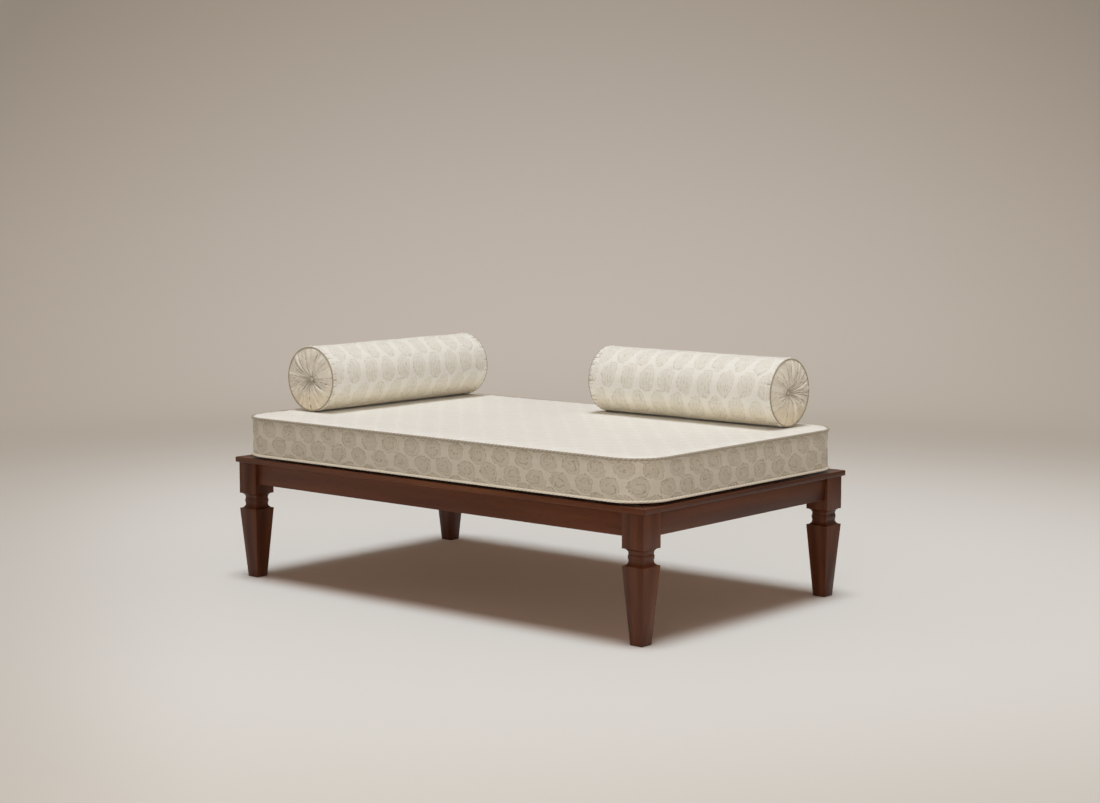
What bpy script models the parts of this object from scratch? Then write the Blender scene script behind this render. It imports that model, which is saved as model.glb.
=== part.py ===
"""A low hardwood daybed: square tapered legs with coved necks, a slatted frame, a loose box
mattress and two pleated bolsters. Metres, +Z up; the origin is on the floor under the middle."""

import math

import bmesh
import bpy
from mathutils import Matrix, Vector

# Clearance left between two pieces that touch
GAP = 0.0003

# Frame, measured across the outer faces of the legs and from the floor to the top of the cap
FRAME_LENGTH = 1.688
FRAME_DEPTH = 1.014
FRAME_HEIGHT = 0.400

# Legs: a square block, a coved neck with a raised band, then a straight taper to the foot
LEG_WIDTH = 0.0786
FOOT_WIDTH = 0.0440
NECK_WIDTH = 0.0520
SHOULDER_HEIGHT = 0.2295
NECK_HEIGHT = 0.0235
BAND_HEIGHT = 0.0115
BAND_STEP = 0.0012
FOOT_EASE = 0.0020
COVE_STEPS = 7

# Rails and the mitred cap over them
RAIL_HEIGHT = 0.0700
RAIL_THICKNESS = 0.0300
RAIL_RECESS = 0.0110
CAP_THICKNESS = 0.0168
CAP_OVERHANG = 0.0094

# Corner fixing: leg chamfer, diagonal block, hanger bolt and flange nut
LEG_CHAMFER = 0.0180
BLOCK_THICKNESS = 0.0280
BLOCK_HEIGHT = 0.0550
BOLT_RADIUS = 0.0040
BOLT_DEPTH_IN_LEG = 0.0400
BOLT_END_SHOWING = 0.0030
NUT_ACROSS_FLATS = 0.0130
NUT_HEIGHT = 0.0080
NUT_FLANGE_RADIUS = 0.0090
NUT_FLANGE_THICKNESS = 0.0015

# Slats and the ledgers that carry them
SLAT_COUNT = 11
SLAT_WIDTH = 0.0700
SLAT_THICKNESS = 0.0240
SLAT_END_PLAY = 0.0020
SLAT_BEARING = 0.0180
SLAT_TO_BLOCK = 0.0080
LEDGER_HEIGHT = 0.0300

# Mattress; a reveal is how far its side sits inside the edge of the cap
MATTRESS_THICKNESS = 0.1300
MATTRESS_END_REVEAL = 0.0129
MATTRESS_SIDE_REVEAL = 0.0059
MATTRESS_CORNER_RADIUS = 0.1135
MATTRESS_PIPING_RADIUS = 0.0045
MATTRESS_PIPING_OUT = 0.0015
CORNER_STEPS = 9
COVER_THICKNESS = 0.0020

# Bolsters
BOLSTER_RADIUS = 0.1125
SIDE_BOLSTER_LENGTH = 0.7550
BACK_BOLSTER_LENGTH = 0.7200
SIDE_BOLSTER_TO_END = 0.1305
SIDE_BOLSTER_OFFSET = 0.0700
BACK_BOLSTER_TO_BACK = 0.1535
BACK_BOLSTER_TO_END = 0.0955
BOLSTER_PIPING_RADIUS = 0.0030
BOLSTER_PIPING_INSET = 0.0070
BOLSTER_END_DISH = 0.0060
BOLSTER_SIDES = 32
BUTTON_RADIUS = 0.0080
BUTTON_HEIGHT = 0.0042
BUTTON_SEAT_RADIUS = 0.0100

# Zips: one along the back of the mattress and one low on the hidden side of each bolster
ZIP_TAPE_WIDTH = 0.0220
ZIP_TAPE_THICKNESS = 0.0012
ZIP_TAPE_SUNK = 0.0006
ZIP_END_MARGIN = 0.0770
BOLSTER_ZIP_END_MARGIN = 0.0600
BOLSTER_ZIP_DROP = math.radians(30)
SLIDER_LENGTH = 0.0110
SLIDER_WIDTH = 0.0085
SLIDER_HEIGHT = 0.0030
PULL_LENGTH = 0.0260
PULL_WIDTH = 0.0060
PULL_THICKNESS = 0.0010

# Places worked out from the sizes above
ROOT_TWO = math.sqrt(2)
CAP_BOTTOM = FRAME_HEIGHT - CAP_THICKNESS
STACK_TOP = CAP_BOTTOM - GAP
RAIL_INNER = RAIL_RECESS + RAIL_THICKNESS
BLOCK_FACE = 2 * LEG_WIDTH - LEG_CHAMFER + GAP * ROOT_TWO
BLOCK_BACK = BLOCK_FACE + BLOCK_THICKNESS * ROOT_TWO
BLOCK_BOTTOM = STACK_TOP - BLOCK_HEIGHT
BLOCK_REACH = BLOCK_BACK - RAIL_INNER - GAP
BOLT_HEIGHT = STACK_TOP - BLOCK_HEIGHT / 2
SLAT_BOTTOM = CAP_BOTTOM
SLAT_TOP = SLAT_BOTTOM + SLAT_THICKNESS
MATTRESS_BOTTOM = SLAT_TOP + GAP
MATTRESS_TOP = MATTRESS_BOTTOM + MATTRESS_THICKNESS
MATTRESS_HALF_LENGTH = FRAME_LENGTH / 2 + CAP_OVERHANG - MATTRESS_END_REVEAL
MATTRESS_HALF_DEPTH = FRAME_DEPTH / 2 + CAP_OVERHANG - MATTRESS_SIDE_REVEAL
PIPING_DROP = MATTRESS_PIPING_RADIUS + GAP
MATTRESS_CHAMFER = ROOT_TWO * (MATTRESS_PIPING_RADIUS + GAP) + PIPING_DROP - MATTRESS_PIPING_OUT
BOLSTER_CHAMFER = ROOT_TWO * (BOLSTER_PIPING_RADIUS + GAP) + BOLSTER_PIPING_INSET


def clear_scene():
    for thing in list(bpy.data.objects):
        bpy.data.objects.remove(thing)


def material(name, colour, roughness, metallic=0.0):
    made = bpy.data.materials.new(name)
    made.use_nodes = True
    shader = made.node_tree.nodes["Principled BSDF"]
    shader.inputs["Base Color"].default_value = (*colour, 1.0)
    shader.inputs["Roughness"].default_value = roughness
    shader.inputs["Metallic"].default_value = metallic
    made.diffuse_color = (*colour, 1.0)
    return made


def empty(name, location, turn=0.0, parent=None):
    made = bpy.data.objects.new(name, None)
    made.location = location
    made.rotation_euler = (0, 0, turn)
    made.parent = parent
    bpy.context.scene.collection.objects.link(made)
    return made


def add(name, bm, finish, location=(0, 0, 0), parent=None):
    """Links a finished mesh as one named object and frees the bmesh."""
    bmesh.ops.recalc_face_normals(bm, faces=bm.faces)
    mesh = bpy.data.meshes.new(name)
    bm.to_mesh(mesh)
    bm.free()
    made = bpy.data.objects.new(name, mesh)
    made.location = location
    made.parent = parent
    if finish:
        mesh.materials.append(finish)
    bpy.context.scene.collection.objects.link(made)
    return made


def add_round(name, bm, finish, location=(0, 0, 0), parent=None):
    made = add(name, bm, finish, location, parent)
    made.data.shade_smooth()
    made.data.set_sharp_from_angle(angle=math.radians(40))
    return made


def cut(target, name, bm, location=(0, 0, 0)):
    """Takes a cutter, placed in the target's own space, out of the target."""
    cutter = add(name, bm, None, location, target)
    cutter.hide_render = True
    cutter.display_type = "WIRE"
    boolean = target.modifiers.new(name, "BOOLEAN")
    boolean.operation = "DIFFERENCE"
    boolean.solver = "EXACT"
    boolean.object = cutter


def join(target, name, bm):
    """Unites a second shape, placed in the target's own space, with the target."""
    other = add(name, bm, None, (0, 0, 0), target)
    other.hide_render = True
    other.display_type = "WIRE"
    boolean = target.modifiers.new(name, "BOOLEAN")
    boolean.operation = "UNION"
    boolean.solver = "EXACT"
    boolean.object = other


def box(low, high):
    bm = bmesh.new()
    bmesh.ops.create_cube(bm, size=1.0)
    low, high = Vector(low), Vector(high)
    size = high - low
    bmesh.ops.scale(bm, vec=size, verts=bm.verts)
    bmesh.ops.translate(bm, vec=(low + high) / 2, verts=bm.verts)
    return bm


def loft(rings, closed=False):
    """A skin over rings of equal point count: capped at both ends, or closed on itself."""
    bm = bmesh.new()
    rows = [[bm.verts.new(point) for point in ring] for ring in rings]
    count = len(rows[0])
    pairs = list(zip(rows, rows[1:]))
    if closed:
        pairs.append((rows[-1], rows[0]))
    for low, high in pairs:
        for i in range(count):
            j = (i + 1) % count
            bm.faces.new((low[i], low[j], high[j], high[i]))
    if not closed:
        bm.faces.new(reversed(rows[0]))
        bm.faces.new(rows[-1])
    return bm


def extrude_outline(points, low, high):
    return loft([[(x, y, z) for x, y in points] for z in (low, high)])


def square_ring(half, height):
    return [(half, half, height), (-half, half, height), (-half, -half, height), (half, -half, height)]


def rounded_outline(half_length, half_depth, radius):
    """Points round a rectangle with round corners, anticlockwise, with their outward directions."""
    points = []
    for quarter, (sx, sy) in enumerate(((1, 1), (-1, 1), (-1, -1), (1, -1))):
        centre = Vector((sx * (half_length - radius), sy * (half_depth - radius)))
        for step in range(CORNER_STEPS + 1):
            angle = math.pi / 2 * (quarter + step / CORNER_STEPS)
            outward = Vector((math.cos(angle), math.sin(angle)))
            points.append((centre + outward * radius, outward))
    return points


def circle_path(radius, sides):
    """Points round a circle in the YZ plane, with their outward directions."""
    turns = [2 * math.pi * i / sides for i in range(sides)]
    return [(radius * Vector((math.cos(a), math.sin(a))), Vector((math.cos(a), math.sin(a)))) for a in turns]


def piping(path, radius, to_space, sides=6):
    """A round cord swept along a closed flat path; to_space turns (u, v, w) into a 3-D point."""
    rings = []
    for point, outward in path:
        ring = []
        for i in range(sides):
            angle = 2 * math.pi * i / sides
            spot = point + outward * (radius * math.cos(angle))
            ring.append(to_space(spot.x, spot.y, radius * math.sin(angle)))
        rings.append(ring)
    return loft(rings, closed=True)


def turned(profile, sides):
    """A shape turned about X from (x, radius) stations, with flat ends."""
    angles = [2 * math.pi * i / sides for i in range(sides)]
    return loft([[(x, r * math.cos(a), r * math.sin(a)) for a in angles] for x, r in profile])


def leg_profile():
    """(half width, height) stations from the foot up to the top of the block."""
    block, neck, foot = LEG_WIDTH / 2, NECK_WIDTH / 2, FOOT_WIDTH / 2
    cove = block - neck
    band_low = SHOULDER_HEIGHT + cove + (NECK_HEIGHT - BAND_HEIGHT) / 2
    stations = [(foot - FOOT_EASE / 2, 0.0), (foot, FOOT_EASE)]
    for step in range(COVE_STEPS + 1):
        angle = math.pi / 2 * step / COVE_STEPS
        stations.append((block - cove * math.sin(angle), SHOULDER_HEIGHT + cove * (1 - math.cos(angle))))
    band = neck + BAND_STEP
    stations += [(neck, band_low), (band, band_low), (band, band_low + BAND_HEIGHT), (neck, band_low + BAND_HEIGHT)]
    cove_top = SHOULDER_HEIGHT + 2 * cove + NECK_HEIGHT
    for step in range(COVE_STEPS + 1):
        angle = math.pi / 2 * step / COVE_STEPS
        stations.append((block - cove * math.cos(angle), cove_top - cove * (1 - math.sin(angle))))
    stations.append((block, STACK_TOP))
    return stations


def diagonal_bar(radius, start, end, height, sides=12):
    """A round bar along the inward diagonal of a corner, from start to end along it."""
    bm = turned([(start, radius), (end, radius)], sides)
    bmesh.ops.rotate(bm, cent=(0, 0, 0), matrix=Matrix.Rotation(math.radians(225), 3, "Z"), verts=bm.verts)
    bmesh.ops.translate(bm, vec=(0, 0, height), verts=bm.verts)
    return bm


def leg(name, corner, wood):
    """A leg in a corner's space, whose origin is under the leg's outer edge and whose inside is -X, -Y."""
    made = add(name, loft([square_ring(half, height) for half, height in leg_profile()]), wood,
               (-LEG_WIDTH / 2, -LEG_WIDTH / 2, 0), corner)
    middle = Vector((LEG_WIDTH / 2, LEG_WIDTH / 2, 0))
    face = 2 * LEG_WIDTH - LEG_CHAMFER
    wedge = [(-face + LEG_WIDTH, -LEG_WIDTH), (-face, 0), (-face - LEG_WIDTH, -LEG_WIDTH), (-LEG_WIDTH, -2 * LEG_WIDTH)]
    low, high = BLOCK_BOTTOM - 4 * GAP, STACK_TOP + LEG_WIDTH
    cut(made, name + "_chamfer", extrude_outline(wedge, low, high), middle)
    reach = face / ROOT_TWO
    hole = diagonal_bar(BOLT_RADIUS + GAP, reach - BOLT_DEPTH_IN_LEG - GAP, reach + LEG_CHAMFER, BOLT_HEIGHT)
    cut(made, name + "_bolt_hole", hole, middle)
    return made


def corner_block(name, corner, wood):
    inner = RAIL_INNER + GAP
    outline = [(-BLOCK_FACE + inner, -inner), (-inner, -BLOCK_FACE + inner),
               (-inner, -BLOCK_BACK + inner), (-BLOCK_BACK + inner, -inner)]
    made = add(name, extrude_outline(outline, BLOCK_BOTTOM, STACK_TOP), wood, (0, 0, 0), corner)
    start, end = BLOCK_FACE / ROOT_TWO, BLOCK_BACK / ROOT_TWO
    cut(made, name + "_hole", diagonal_bar(BOLT_RADIUS + GAP, start - LEG_CHAMFER, end + LEG_CHAMFER, BOLT_HEIGHT))
    return made


def hanger_bolt(name, corner, steel):
    start = (2 * LEG_WIDTH - LEG_CHAMFER) / ROOT_TWO - BOLT_DEPTH_IN_LEG
    end = BLOCK_BACK / ROOT_TWO + GAP + NUT_HEIGHT + BOLT_END_SHOWING
    return add_round(name, diagonal_bar(BOLT_RADIUS, start, end, BOLT_HEIGHT), steel, (0, 0, 0), corner)


def flange_nut(name, corner, steel):
    seat = BLOCK_BACK / ROOT_TWO + GAP
    made = add(name, diagonal_bar(NUT_FLANGE_RADIUS, seat, seat + NUT_FLANGE_THICKNESS, BOLT_HEIGHT, 18),
               steel, (0, 0, 0), corner)
    hexagon = diagonal_bar(NUT_ACROSS_FLATS / math.sqrt(3), seat + NUT_FLANGE_THICKNESS / 2, seat + NUT_HEIGHT,
                           BOLT_HEIGHT, 6)
    join(made, name + "_hexagon", hexagon)
    bore = diagonal_bar(BOLT_RADIUS + GAP, seat - NUT_HEIGHT, seat + 2 * NUT_HEIGHT, BOLT_HEIGHT)
    cut(made, name + "_bore", bore)
    return made


def build_corners(frame, wood, steel):
    corners = (("back_right", 1, 1, 0), ("back_left", -1, 1, 90), ("front_left", -1, -1, 180), ("front_right", 1, -1, 270))
    for place, sx, sy, turn in corners:
        corner = empty("corner_" + place, (sx * FRAME_LENGTH / 2, sy * FRAME_DEPTH / 2, 0), math.radians(turn), frame)
        leg("leg_" + place, corner, wood)
        corner_block("corner_block_" + place, corner, wood)
        hanger_bolt("hanger_bolt_" + place, corner, steel)
        flange_nut("flange_nut_" + place, corner, steel)


def build_rails(frame, wood):
    low, high = STACK_TOP - RAIL_HEIGHT, STACK_TOP
    for side, sy in (("front", -1), ("back", 1)):
        half = FRAME_LENGTH / 2 - LEG_WIDTH - GAP
        middle = sy * (FRAME_DEPTH / 2 - RAIL_RECESS - RAIL_THICKNESS / 2)
        bm = box((-half, -RAIL_THICKNESS / 2, low), (half, RAIL_THICKNESS / 2, high))
        add("rail_" + side, bm, wood, (0, middle, 0), frame)
    for side, sx in (("left", -1), ("right", 1)):
        half = FRAME_DEPTH / 2 - LEG_WIDTH - GAP
        middle = sx * (FRAME_LENGTH / 2 - RAIL_RECESS - RAIL_THICKNESS / 2)
        bm = box((-RAIL_THICKNESS / 2, -half, low), (RAIL_THICKNESS / 2, half, high))
        add("rail_" + side, bm, wood, (middle, 0, 0), frame)


def cap_strip(name, half_outer, distance, turn, frame, wood):
    """A cap strip with both ends mitred, made along X on the -Y side and then turned into place."""
    width = CAP_OVERHANG + LEG_WIDTH
    half_inner = half_outer - width
    mitre = GAP / ROOT_TWO
    outline = [(-half_outer + mitre, -width / 2), (half_outer - mitre, -width / 2),
               (half_inner - mitre, width / 2), (-half_inner + mitre, width / 2)]
    bm = extrude_outline(outline, 0, CAP_THICKNESS)
    made = add(name, bm, wood, (0, 0, 0), frame)
    made.rotation_euler = (0, 0, turn)
    inward = distance - width / 2
    made.location = (inward * math.sin(turn), -inward * math.cos(turn), CAP_BOTTOM)
    return made


def build_caps(frame, wood):
    half_length, half_depth = FRAME_LENGTH / 2 + CAP_OVERHANG, FRAME_DEPTH / 2 + CAP_OVERHANG
    sides = (("front", half_length, half_depth, 0), ("right", half_depth, half_length, 90),
             ("back", half_length, half_depth, 180), ("left", half_depth, half_length, 270))
    for side, half_outer, distance, turn in sides:
        cap_strip("cap_" + side, half_outer, distance, math.radians(turn), frame, wood)


def build_slats(frame, wood):
    ledger_half = FRAME_LENGTH / 2 - BLOCK_REACH - GAP
    ledger_width = LEG_WIDTH - RAIL_INNER + SLAT_BEARING
    for side, sy in (("front", -1), ("back", 1)):
        middle = sy * (FRAME_DEPTH / 2 - RAIL_INNER - GAP - ledger_width / 2)
        bm = box((-ledger_half, -ledger_width / 2, STACK_TOP - LEDGER_HEIGHT), (ledger_half, ledger_width / 2, STACK_TOP))
        add("slat_ledger_" + side, bm, wood, (0, middle, 0), frame)
    half_slat = FRAME_DEPTH / 2 - LEG_WIDTH - SLAT_END_PLAY
    first = FRAME_LENGTH / 2 - BLOCK_REACH - SLAT_TO_BLOCK - SLAT_WIDTH / 2
    for number in range(SLAT_COUNT):
        place = first * (2 * number / (SLAT_COUNT - 1) - 1)
        bm = box((-SLAT_WIDTH / 2, -half_slat, 0), (SLAT_WIDTH / 2, half_slat, SLAT_THICKNESS))
        add("slat_%02d" % (number + 1), bm, wood, (place, 0, SLAT_BOTTOM), frame)


def box_pad(inset):
    """The mattress shape with chamfered rims, made smaller by inset all round."""
    chamfer = MATTRESS_CHAMFER - inset * (2 - ROOT_TWO)
    low, high = MATTRESS_BOTTOM + inset, MATTRESS_TOP - inset
    rings = []
    for height, inward in ((low, chamfer), (low + chamfer, 0), (high - chamfer, 0), (high, chamfer)):
        outline = rounded_outline(MATTRESS_HALF_LENGTH, MATTRESS_HALF_DEPTH, MATTRESS_CORNER_RADIUS)
        rings.append([(*(point - outward * (inset + inward)), height) for point, outward in outline])
    return loft(rings)


def slider(name, finish, tilt, location, parent):
    """A zip slider and its pull, lying along X with its back to the tape; tilt turns it about X."""
    half_length, half_width = SLIDER_LENGTH / 2, SLIDER_WIDTH / 2
    bm = box((-half_length, 0, -half_width), (half_length, SLIDER_HEIGHT, half_width))
    pull = box((0, SLIDER_HEIGHT - PULL_THICKNESS, -PULL_WIDTH / 2),
               (PULL_LENGTH, SLIDER_HEIGHT + PULL_THICKNESS / 2, PULL_WIDTH / 2))
    made = add(name, bm, finish, location, parent)
    made.rotation_euler = (tilt, 0, 0)
    join(made, name + "_pull", pull)
    return made


def build_mattress(fabric, trim, foam, tape, brass):
    mattress = empty("mattress", (0, 0, 0))
    add("mattress_core", box_pad(COVER_THICKNESS + GAP), foam, (0, 0, 0), mattress)
    cover = add("mattress_cover", box_pad(0), fabric, (0, 0, 0), mattress)
    cut(cover, "mattress_cover_inside", box_pad(COVER_THICKNESS))
    zip_half = MATTRESS_HALF_LENGTH - MATTRESS_CORNER_RADIUS - ZIP_END_MARGIN
    middle = (MATTRESS_BOTTOM + MATTRESS_TOP) / 2
    slit = ZIP_TAPE_WIDTH / 2 + GAP
    outside = MATTRESS_HALF_DEPTH
    cut(cover, "mattress_zip_slit", box((-zip_half - GAP, outside - 3 * COVER_THICKNESS, middle - slit),
                                        (zip_half + GAP, outside + 3 * COVER_THICKNESS, middle + slit)))
    face = outside - ZIP_TAPE_SUNK
    add("mattress_zip_tape", box((-zip_half, face - ZIP_TAPE_THICKNESS, middle - ZIP_TAPE_WIDTH / 2),
                                 (zip_half, face, middle + ZIP_TAPE_WIDTH / 2)), tape, (0, 0, 0), mattress)
    travel = zip_half - SLIDER_LENGTH
    slider("mattress_zip_slider", brass, 0, (travel, outside + GAP, middle), mattress)
    path = rounded_outline(MATTRESS_HALF_LENGTH + MATTRESS_PIPING_OUT, MATTRESS_HALF_DEPTH + MATTRESS_PIPING_OUT,
                           MATTRESS_CORNER_RADIUS + MATTRESS_PIPING_OUT)
    for level, height in (("top", MATTRESS_TOP - PIPING_DROP), ("bottom", MATTRESS_BOTTOM + PIPING_DROP)):
        bm = piping(path, MATTRESS_PIPING_RADIUS, lambda u, v, w: (u, v, w))
        add_round("mattress_piping_" + level, bm, trim, (0, 0, height), mattress)


def bolster_shape(length, inset):
    """The closed bolster form along X, made smaller by inset all round."""
    half = length / 2 - inset
    radius = BOLSTER_RADIUS - inset
    chamfer = BOLSTER_CHAMFER - inset * (2 - ROOT_TWO)
    end = [(half - BOLSTER_END_DISH, BUTTON_SEAT_RADIUS), (half, radius - chamfer), (half - chamfer, radius)]
    return turned([(-x, r) for x, r in end] + list(reversed(end)), BOLSTER_SIDES)


def button(name, direction, place, finish, parent):
    """A domed covered button that stands out along X, towards direction."""
    shares = ((0, 0.9), (0.35, 1.0), (0.8, 0.75), (1.0, 0.3))
    bm = turned([(direction * BUTTON_HEIGHT * x, BUTTON_RADIUS * r) for x, r in shares], 14)
    return add_round(name, bm, finish, (place, 0, 0), parent)


def build_bolster(name, length, location, turn, ends, finishes):
    """A bolster along X about its middle; ends names its ends towards -X and +X before it is turned."""
    fabric, trim, fibre, tape, brass = finishes
    bolster = empty(name, location, turn)
    add_round(name + "_core", bolster_shape(length, COVER_THICKNESS + GAP), fibre, (0, 0, 0), bolster)
    cover = add_round(name + "_cover", bolster_shape(length, 0), fabric, (0, 0, 0), bolster)
    cut(cover, name + "_cover_inside", bolster_shape(length, COVER_THICKNESS))
    zip_half = length / 2 - BOLSTER_ZIP_END_MARGIN
    slit = ZIP_TAPE_WIDTH / 2 + GAP
    tilt = Matrix.Rotation(-BOLSTER_ZIP_DROP, 3, "X")
    opening = box((-zip_half - GAP, BOLSTER_RADIUS - 3 * COVER_THICKNESS, -slit),
                  (zip_half + GAP, BOLSTER_RADIUS + 3 * COVER_THICKNESS, slit))
    bmesh.ops.rotate(opening, cent=(0, 0, 0), matrix=tilt, verts=opening.verts)
    cut(cover, name + "_zip_slit", opening)
    face = BOLSTER_RADIUS - ZIP_TAPE_SUNK
    strip = box((-zip_half, face - ZIP_TAPE_THICKNESS, -ZIP_TAPE_WIDTH / 2), (zip_half, face, ZIP_TAPE_WIDTH / 2))
    bmesh.ops.rotate(strip, cent=(0, 0, 0), matrix=tilt, verts=strip.verts)
    add(name + "_zip_tape", strip, tape, (0, 0, 0), bolster)
    seat = tilt @ Vector((zip_half - SLIDER_LENGTH, BOLSTER_RADIUS + GAP, 0))
    slider(name + "_zip_slider", brass, -BOLSTER_ZIP_DROP, seat, bolster)
    ring = circle_path(BOLSTER_RADIUS - BOLSTER_PIPING_INSET, BOLSTER_SIDES)
    for end, direction in zip(ends, (-1, 1)):
        bm = piping(ring, BOLSTER_PIPING_RADIUS, lambda u, v, w: (w, u, v))
        add_round(name + "_piping_" + end, bm, trim, (direction * length / 2, 0, 0), bolster)
        seat = direction * (length / 2 - BOLSTER_END_DISH + GAP)
        button(name + "_button_" + end, direction, seat, fabric, bolster)


def build():
    clear_scene()
    mahogany = material("mahogany", (0.115, 0.043, 0.024), 0.38)
    birch = material("birch", (0.56, 0.40, 0.24), 0.60)
    steel = material("zinc_steel", (0.58, 0.58, 0.60), 0.35, 1.0)
    brass = material("dull_brass", (0.55, 0.43, 0.22), 0.35, 1.0)
    damask = material("ivory_damask", (0.71, 0.66, 0.54), 0.75)
    trim = material("stone_piping", (0.42, 0.37, 0.29), 0.80)
    tape = material("zip_tape", (0.50, 0.45, 0.35), 0.85)
    foam = material("foam", (0.78, 0.72, 0.52), 0.90)
    fibre = material("fibre", (0.82, 0.81, 0.77), 0.95)

    frame = empty("frame", (0, 0, 0))
    build_corners(frame, mahogany, steel)
    build_rails(frame, mahogany)
    build_caps(frame, mahogany)
    build_slats(frame, birch)
    build_mattress(damask, trim, foam, tape, brass)

    finishes = (damask, trim, fibre, tape, brass)
    rest_height = MATTRESS_TOP + GAP + BOLSTER_RADIUS
    side_place = (-MATTRESS_HALF_LENGTH + SIDE_BOLSTER_TO_END, SIDE_BOLSTER_OFFSET, rest_height)
    build_bolster("side_bolster", SIDE_BOLSTER_LENGTH, side_place, math.pi / 2, ("front", "back"), finishes)
    back_place = (MATTRESS_HALF_LENGTH - BACK_BOLSTER_TO_END - BACK_BOLSTER_LENGTH / 2,
                  MATTRESS_HALF_DEPTH - BACK_BOLSTER_TO_BACK, rest_height)
    build_bolster("back_bolster", BACK_BOLSTER_LENGTH, back_place, 0, ("left", "right"), finishes)


build()
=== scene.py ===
"""The daybed's finished look: polished hardwood frame, birch slats, woven ivory mattress and
pleated bolsters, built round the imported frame. Metres, +Z up."""

import math

import bmesh
import bpy
import numpy as np
from mathutils import Matrix, Vector, noise


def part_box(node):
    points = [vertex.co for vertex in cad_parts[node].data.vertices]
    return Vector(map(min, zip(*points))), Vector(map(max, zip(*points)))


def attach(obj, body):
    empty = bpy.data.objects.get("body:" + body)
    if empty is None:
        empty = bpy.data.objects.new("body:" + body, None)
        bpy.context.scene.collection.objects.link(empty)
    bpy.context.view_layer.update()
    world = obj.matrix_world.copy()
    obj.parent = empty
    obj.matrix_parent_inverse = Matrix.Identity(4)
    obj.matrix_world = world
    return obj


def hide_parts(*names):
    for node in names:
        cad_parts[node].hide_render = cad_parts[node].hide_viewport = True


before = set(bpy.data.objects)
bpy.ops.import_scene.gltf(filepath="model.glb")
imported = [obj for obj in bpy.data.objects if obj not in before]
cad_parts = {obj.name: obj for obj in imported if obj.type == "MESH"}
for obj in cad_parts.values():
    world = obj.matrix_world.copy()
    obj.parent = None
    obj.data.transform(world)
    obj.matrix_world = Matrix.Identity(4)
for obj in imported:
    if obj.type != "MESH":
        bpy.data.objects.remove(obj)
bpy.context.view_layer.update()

TURN = 2 * math.pi

# Camera
CAMERA_PLACE = (4.5067, -5.2259, 1.3565)
CAMERA_YAW = 40.334
CAMERA_PITCH = -6.256
CAMERA_VIEW_ANGLE = 28.5655

# Studio
FLOOR_NEAR = (0.690, 0.682, 0.668)
# Painted falloff colour: the floor darkens towards it away from the middle and towards the lower and left
# edges of the view
FLOOR_PAINTED_FALLOFF = (0.42, 0.375, 0.325)
# Painted warm shadow colour for the floor beneath the bed
FLOOR_SHADED = (0.605, 0.482, 0.425)
# Colours of the wall's glow, a painted pool of light: WALL_MIDDLE in its middle, WALL_EDGE towards the
# view's edges
WALL_MIDDLE = (0.485, 0.429, 0.377)
WALL_EDGE = (0.485, 0.415, 0.345)
WALL_GLOW = 0.70
OVERHEAD = 2.14
OVERHEAD_SPREAD = 22.0
FRONT_FILL = 56.0
SIDE_FILL = 9.0
AIR = 0.27

# Colours, linear
DEEP_BROWN = (0.046, 0.0118, 0.0040)
RED_BROWN = (0.110, 0.0325, 0.0115)
AMBER_BROWN = (0.185, 0.064, 0.0245)
# Painted shade colour for creases and for where a bolster rests on the seat
FOLD_SHADE = (0.085, 0.050, 0.023)
# Painted warm bounce light from the seat, for the lower part of the bolsters
SEAT_BOUNCE_PAINT = (1.0, 0.935, 0.815)
PORE_BROWN = (0.014, 0.004, 0.002)


# ---------------------------------------------------------------- materials

class Wire:
    """An output in a node tree. Plain arithmetic on it adds the nodes that work it out."""

    def __init__(self, tree, socket):
        self.tree, self.socket = tree, socket

    def __abs__(self):
        return self.tree.math("ABSOLUTE", self)


def teach(sign, operation):
    """Makes an arithmetic sign stand for a math node, with the wire on either side of it."""
    setattr(Wire, f"__{sign}__", lambda wire, other: wire.tree.math(operation, wire, other))
    setattr(Wire, f"__r{sign}__", lambda wire, other: wire.tree.math(operation, other, wire))


for sign, operation in (("add", "ADD"), ("sub", "SUBTRACT"), ("mul", "MULTIPLY"), ("truediv", "DIVIDE")):
    teach(sign, operation)


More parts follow.
